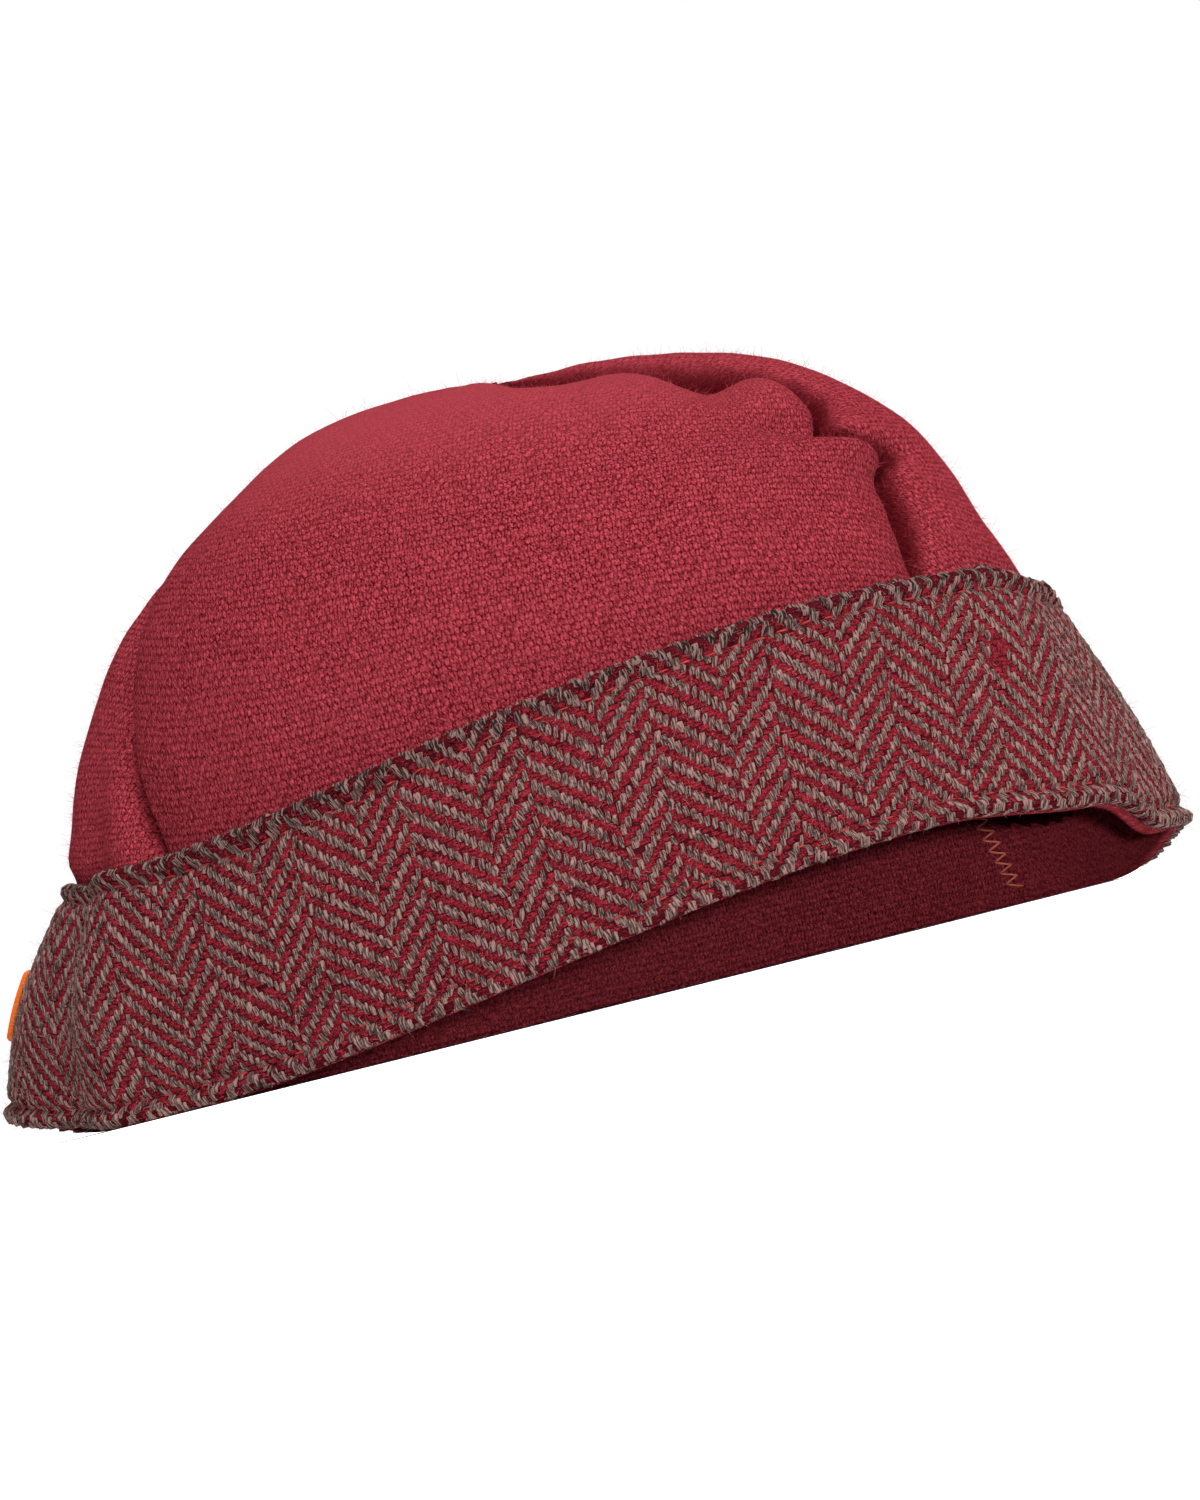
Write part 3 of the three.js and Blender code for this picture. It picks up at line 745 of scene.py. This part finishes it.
def makeGore(gore, seed):
    rise = tipRise * np.linspace(0, 1, crown["rows"] + 1)[:, None]
    section = sectionAt(rise)
    height = section["height"]
    limits = goreLimits(gore, rise)
    start, stop = limits
    even = np.linspace(-1, 1, crown["columns"][gore["node"]] + 1)[None, :]
    spread = blend(even, np.sin(np.pi / 2 * even), crown["edgeCrowding"])
    perDegree = degreeLength(np.where(spread < 0, start, stop), rise)
    half = (stop - start) / 2 - cloth["seamGap"] / 2 / perDegree
    azimuth = (start + stop) / 2 + spread * np.maximum(half, 0)
    out, toSeam = crownOut(gore, azimuth, rise, limits, perDegree)
    u, v = clothMap(gore, azimuth, rise, capPoint(azimuth, rise, out))
    # the band holds what is under it, and the creases run down behind it
    free = ramp(height, bandTopHeight + crown["freeFrom"], bandTopHeight + crown["freeTo"])
    seamed = ramp(height, bandTopHeight - crown["creaseEnd"], bandTopHeight + crown["creaseEnd"])
    lumps = crown["lumps"] * softNoise(u, v, crown["lumpSize"], seed)
    gathered = np.sin(v * 2 * np.pi / crown["puckerLength"] + seed)
    gathered = np.exp(-toSeam / crown["puckerReach"]) * gathered
    gathered = crown["pucker"] * gathered * (1 - np.exp(-toSeam / crown["puckerFrom"]))
    pinched = crown["crease"] * np.exp(-toSeam / crown["creaseReach"])  # the seam's stitches draw it in
    pinched = pinched * seamed * np.clip(section["halfDepth"] / topEaseRadius, 0, 1)
    out = out + free * (lumps + gathered) - pinched
    outer = capPoint(azimuth, rise, out)
    closed = (start + stop) / 2 + spread * (stop - start) / 2  # the gores meet at the inside of a seam
    inner = capPoint(closed, rise, out - cloth["crownWall"])
    uv = turnMap(u, v, crown["grainTurn"].get(gore["node"], 0)) + (crown["mapApart"] * seed, 0)
    # painted shade in the seams' creases: the colour darkens within a few millimetres of each seam, widest
    # on the right gore beside the front right seam, narrower down to the band
    reachAfter = crown["shadeReach"].get(gore["from"], crown["otherReach"])
    reach = np.where(spread < 0, reachAfter, crown["otherReach"]) * blend(crown["shadeTucked"], 1, free)
    seamShade = seamed * crown["shade"] * np.exp(-(toSeam / reach) ** crown["shadePower"])
    piece = meshPiece(
        gore["node"].replace("gore", "crown"), np.stack([outer, inner]), wallQuads(*outer.shape[:2]),
        frontWool if gore["node"] == "gore_front" else plainWool,
        uv=np.stack([uv, uv + crown["innerShift"]]), replaces=gore["node"],
        tone=np.concatenate([seamShade.ravel(), np.full(seamShade.size, -crown["innerFlat"])]),
    )
    width, length, area = np.ptp(u), np.ptp(v), clothSteps(outer)[2].sum()
    print(f"{piece.name}: cut {width:.0f} x {length:.0f} mm, {area / 100:.0f} cm2")
    way = capPoint(azimuth, rise, out + 1) - outer
    loose = makeGoreFibres(piece.name + "_fibres", outer, way, height)
    flat = (width * metre, length * metre)
    return {"piece": piece, "flat": flat, "area": area * metre ** 2, "with": [loose]}


crownPieces = {gore["node"]: makeGore(gore, seed) for seed, gore in enumerate(gores, 1)}


# Band

band = {
    "width": 46.0, "rows": 44, "wrap": 3, "chevrons": 28, "falling": 12, "rising": 8, "start": 16.1,
    "groundColumns": 640, "foldRows": 8, "edgeRows": 14, "faceRows": 12, "edgeZone": 8, "offFloor": 0.03,
    "rollBulge": 0.6, "rollReach": 1.4, "rope": 0.3, "stitchInset": 3.3, "stitchDip": 1.0,
    "stitchReach": 0.8, "middle": 8, "endFrom": 50, "endTo": 80, "endShare": 0.35,
    "straight": 1.6, "straightTo": 95, "closedBy": 170, "wander": 0.22, "wanderStretch": 3, "jitter": 0.07,
    # topShade and shadeReach set the painted shade along the band's upper edge
    "topShade": 1.8, "shadeReach": 3.4,
}
yarnFloat = {
    "stations": (-1, -0.8, 0, 0.8, 1), "angles": (0, 60, 120, 180), "endPower": 8, "narrowing": 0.25,
    "flattening": 0.4, "dive": 0.4, "sink": 0.1, "overlap": 1.1, "lean": 0.11, "ragged": 0.06,
    "raggedUp": 0.7, "widthSpread": 0.12, "widthLimits": (0.7, 1.3), "heightSpread": 0.16,
    "heightLimits": (0.5, 1.5), "edgeReach": 2, "mapSpread": 90,
}
# at the folded edges the grey stands out and the red lies deeper
greyFloat = {"width": 0.6, "height": 0.46, "edgeWidth": 0.3, "edgeHeight": 0.5, "wave": 17, "seed": 6}
redFloat = {"width": 0.74, "height": 0.28, "edgeWidth": -0.15, "edgeHeight": -0.5, "wave": 19, "seed": 5}
flaw = {"azimuth": 49.7, "place": 30.5, "halfAlong": 1.6, "halfUp": 4.2}  # where the grey yarn is missing
bandStitch = {
    "spacing": 4.1, "length": 2.1, "radius": 0.18, "above": 0.24, "slip": 0.06, "stray": 0.1,
    "uneven": 0.08,
}
bandRadius = cloth["bandWall"] / 2
bandRimRise = rimShowing * risePerHeight
bandTurns = np.linspace(-180, 180, 1441)
bandMiddle = capPoint(bandTurns, (bandRimRise + bandTopRise) / 2, cloth["bandGap"] + cloth["bandWall"])
bandArc = np.concatenate([[0], np.cumsum(stepLengths(bandMiddle))])
bandLength = bandArc[-1]
bandLevels = np.array([0, 0.5, 1])


def bandGirth(level):
    rise = blend(bandRimRise, bandTopRise, level)
    return stepLengths(capPoint(bandTurns, rise, cloth["bandWall"])).sum()


bandGirths = np.array([bandGirth(level) for level in bandLevels])


def bandPath(s, p):
    # across the band: up its face from the lower to the upper edge, and round each folded edge to the back
    low, high = bandRadius, band["width"] - bandRadius
    turn = np.clip((p - high) / bandRadius, 0, np.pi) - np.clip((low - p) / bandRadius, 0, np.pi)
    fromEdge = np.maximum(np.minimum(p, band["width"] - p), bandRadius)
    # each stitch draws the edge in, which is flatter at the ends of the face
    drawn = 1 + band["rope"] * np.cos(s * 2 * np.pi / bandStitch["spacing"])
    fromMiddle = np.abs(np.interp(s % bandLength, bandArc, bandTurns) - band["middle"])
    drawn = drawn * blend(1, band["endShare"], ramp(fromMiddle, band["endFrom"], band["endTo"]))
    relief = band["rollBulge"] * drawn * np.exp(-((fromEdge - bandRadius) / band["rollReach"]) ** 2)
    fromStitch = (fromEdge - band["stitchInset"]) / band["stitchReach"]
    relief = relief - band["stitchDip"] * np.exp(-fromStitch ** 2)
    up = np.clip(p, low, high) + (bandRadius + relief) * np.sin(turn)
    out = cloth["bandGap"] + bandRadius + (bandRadius + relief) * np.cos(turn)
    return up, out, np.sin(turn), np.cos(turn)


def bandPoint(s, p, raised):
    up, out, leanUp, leanOut = bandPath(s, p)
    level = (up + leanUp * raised) / band["width"]
    # the strip is cut straight, so its threads keep their distance from the front middle at every level
    azimuth = np.interp(s % bandLength, bandArc, bandTurns)
    fromMiddle = azimuth - band["middle"]
    kept = band["straight"] * (1 - ramp(np.abs(fromMiddle), band["straightTo"], band["closedBy"]))
    azimuth = azimuth + fromMiddle * kept * (bandGirths[1] / np.interp(level, bandLevels, bandGirths) - 1)
    points = capPoint(azimuth, blend(bandRimRise, bandTopRise, level), out + leanOut * raised)
    points[..., 2] = np.maximum(points[..., 2], band["offFloor"])
    return points


def makeBandGround():
    # the ground, where the yarns dive under one another, is a near black sheet: painted shade between the
    # floats
    width, edge, fold = band["width"], band["edgeZone"], np.pi * bandRadius
    face = np.concatenate([
        np.linspace(bandRadius - fold, bandRadius, band["foldRows"])[:-1],
        np.linspace(bandRadius, edge, band["edgeRows"]),
        np.linspace(edge, width - edge, band["faceRows"])[1:-1],
        np.linspace(width - edge, width - bandRadius, band["edgeRows"]),
        np.linspace(-bandRadius, fold - bandRadius, band["foldRows"])[1:] + width,
    ])
    s = np.linspace(0, bandLength, band["groundColumns"], endpoint=False)
    points = bandPoint(s[None, :], face[:, None], 0.0)
    rows, columns = points.shape[:2]
    first, last = np.arange(columns), np.arange(columns) + (rows - 1) * columns
    back = np.stack([last, np.roll(last, -1), np.roll(first, -1), first], -1)
    quads = np.concatenate([gridQuads(rows, columns, ring=True), back])
    uv = np.stack(np.broadcast_arrays(s[None, :], face[:, None]), -1)
    return meshPiece("band_ground", points, quads, yarns["ground_yarn_shade"],
                     uv, tone=rng.uniform(0, 1, rows * columns), replaces="band")


def floatRuns(onTop):
    # start and length of each run of True along the last axis, which closes on itself
    starts = onTop & ~np.roll(onTop, 1, axis=-1)
    line, begin = np.nonzero(starts)
    length = np.ones(len(line), int)
    growing = np.ones(len(line), bool)
    count = onTop.shape[-1]
    while growing.any():
        growing &= onTop[line, (begin + length) % count]
        length += growing
    return line, begin, length


def floatMesh(name, s, p, halfLength, upright, width, height, shade, material):
    # each float is a short bent rod that dives under its neighbours at both ends
    stations, angles = yarnFloat["stations"], np.radians(yarnFloat["angles"])
    t, angle = (grid.ravel() for grid in np.meshgrid(stations, angles, indexing="ij"))
    end = t ** yarnFloat["endPower"]
    along = t * halfLength[:, None]
    across = np.cos(angle) * width[:, None] * (1 - yarnFloat["narrowing"] * end)
    raised = np.sin(angle) * height[:, None] * (1 - yarnFloat["flattening"] * end) - yarnFloat["sink"]
    raised = raised - yarnFloat["dive"] * end
    lean = rng.normal(0, yarnFloat["lean"], len(s))[:, None]
    across = across + lean * along + rng.normal(0, yarnFloat["ragged"], across.shape)
    raised = raised + rng.normal(0, yarnFloat["ragged"] * yarnFloat["raggedUp"], raised.shape)
    moveS, moveP = (across, along) if upright else (along, across)
    points = bandPoint(s[:, None] + moveS, p[:, None] + moveP, raised)
    quads = gridQuads(len(stations), len(angles))
    if upright:
        quads = quads[:, ::-1]
    mapped = along + rng.uniform(0, yarnFloat["mapSpread"], len(s))[:, None]
    uv = np.stack([mapped, angle / np.pi + 0 * along], -1)
    # each yarn's own tone, lowered by the painted shade along the band's upper edge
    tone = np.repeat(rng.uniform(0, 1, len(s)) - shade, len(t))
    return meshPiece(name, points, repeatQuads(quads, len(s), len(t)), material, uv, tone)


def makeTwill():
    # two over, two under, falling and then rising to the right, with a break of two at each turn
    perChevron = band["falling"] + band["rising"]
    threads = band["chevrons"] * perChevron
    rows = band["rows"] + 2 * band["wrap"]
    inChevron = np.arange(threads) % perChevron
    phase = np.where(inChevron < band["falling"], inChevron, 2 * band["falling"] + 1 - inChevron)
    warpOnTop = (np.arange(rows)[:, None] + phase[None, :]) % 4 < 2
    pitchS, pitchP = bandLength / threads, band["width"] / band["rows"]
    row, start, count = floatRuns(~warpOnTop)
    redS = (start + count / 2) * pitchS + band["start"]
    redP = (row + 0.5 - band["wrap"]) * pitchP
    redHalf = count * pitchS / 2
    line, begin, tall = floatRuns(warpOnTop.T)
    whole = begin + tall <= rows
    line, begin, tall = line[whole], begin[whole], tall[whole]
    greyS = (line + 0.5) * pitchS + band["start"]
    greyP = (begin + tall / 2 - band["wrap"]) * pitchP
    greyHalf = tall * pitchP / 2
    flawS = np.interp(flaw["azimuth"], bandTurns, bandArc)
    offAlong, offUp = (greyS - flawS) / flaw["halfAlong"], (greyP - flaw["place"]) / flaw["halfUp"]
    missing = offAlong ** 2 + offUp ** 2 < 1
    there = ~missing
    stretch = band["wanderStretch"]
    wanderRed = softNoise(redS, redP * stretch, redFloat["wave"], redFloat["seed"])
    wanderGrey = softNoise(greyS * stretch, greyP, greyFloat["wave"], greyFloat["seed"])
    redUp, greyAlong = redP + band["wander"] * wanderRed, greyS + band["wander"] * wanderGrey
    pieces = []
    for name, s, p, halfLength, upright, material in (
        ("band_red_yarns", redS, redUp, redHalf, False, "red_yarn"),
        ("band_grey_yarns", greyAlong[there], greyP[there], greyHalf[there], True, "grey_yarn"),
        ("band_flaw_yarns", greyS[missing], greyP[missing], greyHalf[missing], True, "red_yarn"),
    ):
        form = greyFloat if upright else redFloat
        wide = rng.normal(1, yarnFloat["widthSpread"], len(s)).clip(*yarnFloat["widthLimits"])
        high = rng.normal(1, yarnFloat["heightSpread"], len(s)).clip(*yarnFloat["heightLimits"])
        fromEdge = np.maximum(np.minimum(p, band["width"] - p), 0)
        edge = np.exp(-(fromEdge / yarnFloat["edgeReach"]) ** 2)
        width = form["width"] * wide * (1 + form["edgeWidth"] * edge)
        height = form["height"] * high * (1 + form["edgeHeight"] * edge)
        s = s + rng.normal(0, band["jitter"], len(s))
        p = p + rng.normal(0, band["jitter"], len(p))
        # painted shade along the band's upper edge, where the rolled edge lies in shade
        paintedTopShade = ramp(p, band["width"] - band["shadeReach"], band["width"] - bandRadius)  # along the top
        pieces.append(floatMesh(name, s, p, halfLength * yarnFloat["overlap"], upright, width, height,
                                band["topShade"] * paintedTopShade, yarns[material]))
    print(f"twill: {len(redS)} red floats, {len(greyS)} grey floats, pitch {pitchS:.2f} x {pitchP:.2f} mm")
    return pieces


stitch = {
    "stations": 7, "sides": 6, "taper": 0.97, "taperPower": 3, "bow": 0.9, "bowPower": 2.5, "sink": 0.5,
    "mapApart": 5,
}


def stitchMesh(name, starts, ends, radius, material, lift):
    # starts and ends are points on the cloth, lift the way out of it; a stitch is a rod that bows out
    stations, sides = np.linspace(-1, 1, stitch["stations"]), stitch["sides"]
    angle = ringAngles(sides)
    count, middle, halfWay = len(starts), (starts + ends) / 2, (ends - starts) / 2
    side = unit(np.cross(lift, halfWay))
    fromMiddle = np.abs(stations)
    thick = radius * np.sqrt(np.clip(1 - stitch["taper"] * fromMiddle ** stitch["taperPower"], 0, 1))
    ring = np.cos(angle)[:, None] * side[:, None, None] + np.sin(angle)[:, None] * lift[:, None, None]
    bow = radius * stitch["bow"] * (1 - fromMiddle ** stitch["bowPower"]) - radius * stitch["sink"]
    spine = middle[:, None] + stations[:, None] * halfWay[:, None] + bow[:, None] * lift[:, None]
    points = spine[:, :, None] + ring * thick[:, None, None]
    quads = repeatQuads(gridQuads(len(stations), sides, ring=True), count, len(stations) * sides)
    length = np.linalg.norm(halfWay, axis=-1)[:, None, None]
    along = stations[:, None] * length + np.zeros((1, 1, sides))
    mapped = along + stitch["mapApart"] * np.arange(count)[:, None, None]
    uv = np.stack([mapped, np.broadcast_to(angle / np.pi, along.shape)], -1)
    tone = np.repeat(rng.uniform(0, 1, count), len(stations) * sides)
    return meshPiece(name, points, quads, material, uv, tone)


def makeBandStitches():
    count = int(bandLength / bandStitch["spacing"])
    starts, ends, lifts = [], [], []
    for place in (band["stitchInset"], band["width"] - band["stitchInset"]):
        s = (np.arange(count) + rng.normal(0, bandStitch["slip"], count)) * bandLength / count
        p = place + rng.normal(0, bandStitch["stray"], count)
        length = bandStitch["length"] * rng.normal(1, bandStitch["uneven"], count)
        endP = p + rng.normal(0, bandStitch["stray"], count)
        starts.append(bandPoint(s, p, bandStitch["above"]))
        ends.append(bandPoint(s + length, endP, bandStitch["above"]))
        lifts.append(unit(bandPoint(s + length / 2, p, 1.0) - bandPoint(s + length / 2, p, 0.0)))
    return stitchMesh("band_stitches", np.concatenate(starts), np.concatenate(ends), bandStitch["radius"],
                      yarns["red_thread"], np.concatenate(lifts))


def makeBandFibres():
    s = rng.uniform(0, bandLength, fibre["onBand"])
    p = rng.uniform(-fibre["pastEdge"], band["width"] + fibre["pastEdge"], fibre["onBand"])
    roots = bandPoint(s, p, fibre["rootAbove"])
    ways = bandPoint(s, p, fibre["rootAbove"] + 1) - roots
    return makeFibres("band_fibres", roots, ways, yarns["grey_fibre"])


bandGround = makeBandGround()
bandTrim = [*makeTwill(), makeBandStitches(), makeBandFibres()]
print(f"band: {bandLength:.0f} mm round")


# Stitches inside: a zigzag and a straight line at the back right seam, and the line that holds the band

inside = {
    "seam": "backRight", "from": 3.0, "to": 40.0, "zigzagStep": 1.15, "zigzagHalf": 1.9,
    "straightFrom": -6.5, "straightStep": 3.2, "straightLength": 2.3, "rimHeight": 3.0, "rimStep": 4.1,
    "rimLength": 2.2, "tanRadius": 0.2, "redRadius": 0.18, "above": 0.12,
}


def insidePoint(azimuth, height, raised):
    return capPoint(azimuth, height * risePerHeight, -cloth["crownWall"] - raised)


def seamSpot(height, beside):
    rise = height * risePerHeight
    azimuth = seamAzimuth(inside["seam"], rise)
    return azimuth + beside / degreeLength(azimuth, rise)


def insideStitches(name, azimuths, heights, radius, material):
    # azimuths and heights are pairs: where each stitch starts and where it ends
    starts, ends = (insidePoint(azimuths[end], heights[end], inside["above"]) for end in (0, 1))
    lift = insidePoint(azimuths[0], heights[0], 1.0) - insidePoint(azimuths[0], heights[0], 0.0)
    return stitchMesh(name, starts, ends, radius, yarns[material], lift)


def makeInsideStitches():
    height = np.arange(inside["from"], inside["to"], inside["zigzagStep"])
    corner = seamSpot(height, inside["zigzagHalf"] * np.where(np.arange(len(height)) % 2, 1, -1))
    zigzag, ends = (corner[:-1], corner[1:]), (height[:-1], height[1:])
    low = np.arange(inside["from"], inside["to"], inside["straightStep"])
    high = low + inside["straightLength"]
    straight = (seamSpot(low, inside["straightFrom"]), seamSpot(high, inside["straightFrom"]))
    count = int(bandLength / inside["rimStep"])
    around = np.arange(count) * 360 / count
    turned = around + 360 * inside["rimLength"] / bandLength
    level = np.full(count, inside["rimHeight"])
    return [insideStitches(*row) for row in (
        ("inside_zigzag", zigzag, ends, inside["tanRadius"], "tan_thread"),
        ("inside_straight_stitches", straight, (low, high), inside["redRadius"], "red_thread"),
        ("inside_rim_stitches", (around, turned), (level, level), inside["redRadius"], "red_thread"),
    )]


crownPieces["gore_back"]["with"] += makeInsideStitches()
print("inside sewn")


# Label

label = {
    "azimuth": -95, "width": 24, "fromHeight": 15, "toHeight": 27.5, "corner": 1.6, "columns": 40,
    "rows": 24, "hem": 0.35, "hemInset": 0.9, "hemReach": 0.7, "edgeDrop": 0.6, "edgeReach": 0.25,
    "hemShare": 0.5, "wallShare": 0.8, "sink": 0.1,
}


def makeLabel():
    under = cloth["bandGap"] + cloth["bandWall"] + cloth["labelGap"]
    low, high, corner = label["fromHeight"], label["toHeight"], label["corner"]
    rows = np.linspace(low, high, label["rows"] + 1)[:, None]
    perDegree = degreeLength(label["azimuth"], (low + high) / 2 * risePerHeight)
    fromEnd = np.minimum(rows - low, high - rows)
    cut = corner - np.sqrt(np.clip(corner ** 2 - np.clip(corner - fromEnd, 0, None) ** 2, 0, None))
    across = np.linspace(-1, 1, label["columns"] + 1)[None, :] * (label["width"] / 2 - cut)
    azimuth = label["azimuth"] + across / perDegree
    edge = np.minimum(label["width"] / 2 - cut - np.abs(across), fromEnd)
    # the hem is turned and pressed
    hem = label["hem"] * np.exp(-((edge - label["hemInset"]) / label["hemReach"]) ** 2)
    hem = hem - label["edgeDrop"] * np.exp(-edge / label["edgeReach"])
    face = under + cloth["labelWall"] * label["wallShare"] + hem * label["hemShare"]
    outer = capPoint(azimuth, rows * risePerHeight, face)
    inner = capPoint(azimuth, rows * risePerHeight, under - label["sink"])
    uv = np.stack([across, rows + 0 * across], -1)
    return meshPiece("label_patch", np.stack([outer, inner]), wallQuads(*outer.shape[:2]), labelCloth,
                     uv=np.stack([uv, uv]), replaces="side_label")


labelPatch = makeLabel()
print("label placed")


# Stage, light and camera

stage = {"floorSize": 1.3, "floorColour": (0.92, 0.92, 0.92), "world": 0.6, "backdrop": 1.0}
lamps = [
    {"name": "key", "place": (0.75, -0.85, 1.0), "watts": 24, "size": 0.5},
    {"name": "top", "place": (0.1, 0.1, 2.2), "watts": 86, "size": 1.3},
    {"name": "front", "place": (0.06, -1.08, 0.016), "watts": 12, "size": 0.03},
]
lampAim = Vector((0, 0, 0.05))
view = {
    "aim": (0.0092, 0, 0.0427), "distance": 1.0, "height": 0.002, "roll": 14,
    "millimetresPerPixel": 0.1704, "pictureHeight": 1500, "sensor": 36, "clipStart": 0.005,
}


def makeStage():
    material, tree, shader = newMaterial("pale_floor", roughness=0.9)
    setSocket(tree, shader.inputs["Base Color"], stage["floorColour"])
    mesh = bpy.data.meshes.new("floor")
    size = stage["floorSize"]
    corners = [(-size, -size, 0), (size, -size, 0), (size, size, 0), (-size, size, 0)]
    mesh.from_pydata(corners, [], [(0, 1, 2, 3)])
    mesh.materials.append(material)
    floor = bpy.data.objects.new("floor", mesh)
    scene.collection.objects.link(floor)
    world = bpy.data.worlds.new("studio")
    world.use_nodes = True
    sky = world.node_tree
    seen = addNode(sky, "ShaderNodeLightPath").outputs["Is Camera Ray"]
    strength = calc(sky, "MULTIPLY_ADD", seen, stage["backdrop"] - stage["world"], stage["world"])
    sky.links.new(strength, sky.nodes["Background"].inputs["Strength"])
    setSocket(sky, sky.nodes["Background"].inputs["Color"], (1, 1, 1))
    scene.world = world


def makeLamp(name, place, watts, size):
    lamp = bpy.data.lights.new(name, "AREA")
    lamp.energy = watts
    lamp.shape = "DISK"
    lamp.size = size
    made = bpy.data.objects.new(name, lamp)
    made.location = place
    made.rotation_euler = (lampAim - Vector(place)).to_track_quat("-Z", "Y").to_euler()
    scene.collection.objects.link(made)


def makeCamera():
    aim = Vector(view["aim"])
    place = Vector((aim.x, -view["distance"], view["height"]))
    toAim = aim - place
    data = bpy.data.cameras.new("camera")
    data.sensor_fit = "VERTICAL"
    data.sensor_height = view["sensor"]
    pixels = toAim.length / (view["millimetresPerPixel"] * metre)
    data.lens = view["sensor"] * pixels / view["pictureHeight"]
    data.clip_start = view["clipStart"]
    camera = bpy.data.objects.new("camera", data)
    roll = Matrix.Rotation(math.radians(-view["roll"]), 3, "Z")
    turn = toAim.to_track_quat("-Z", "Y").to_matrix() @ roll
    camera.matrix_world = Matrix.Translation(place) @ turn.to_4x4()
    scene.collection.objects.link(camera)
    scene.camera = camera


makeStage()
for lamp in lamps:
    makeLamp(**lamp)
makeCamera()
scene.view_settings.view_transform = "Standard"
print("stage ready")
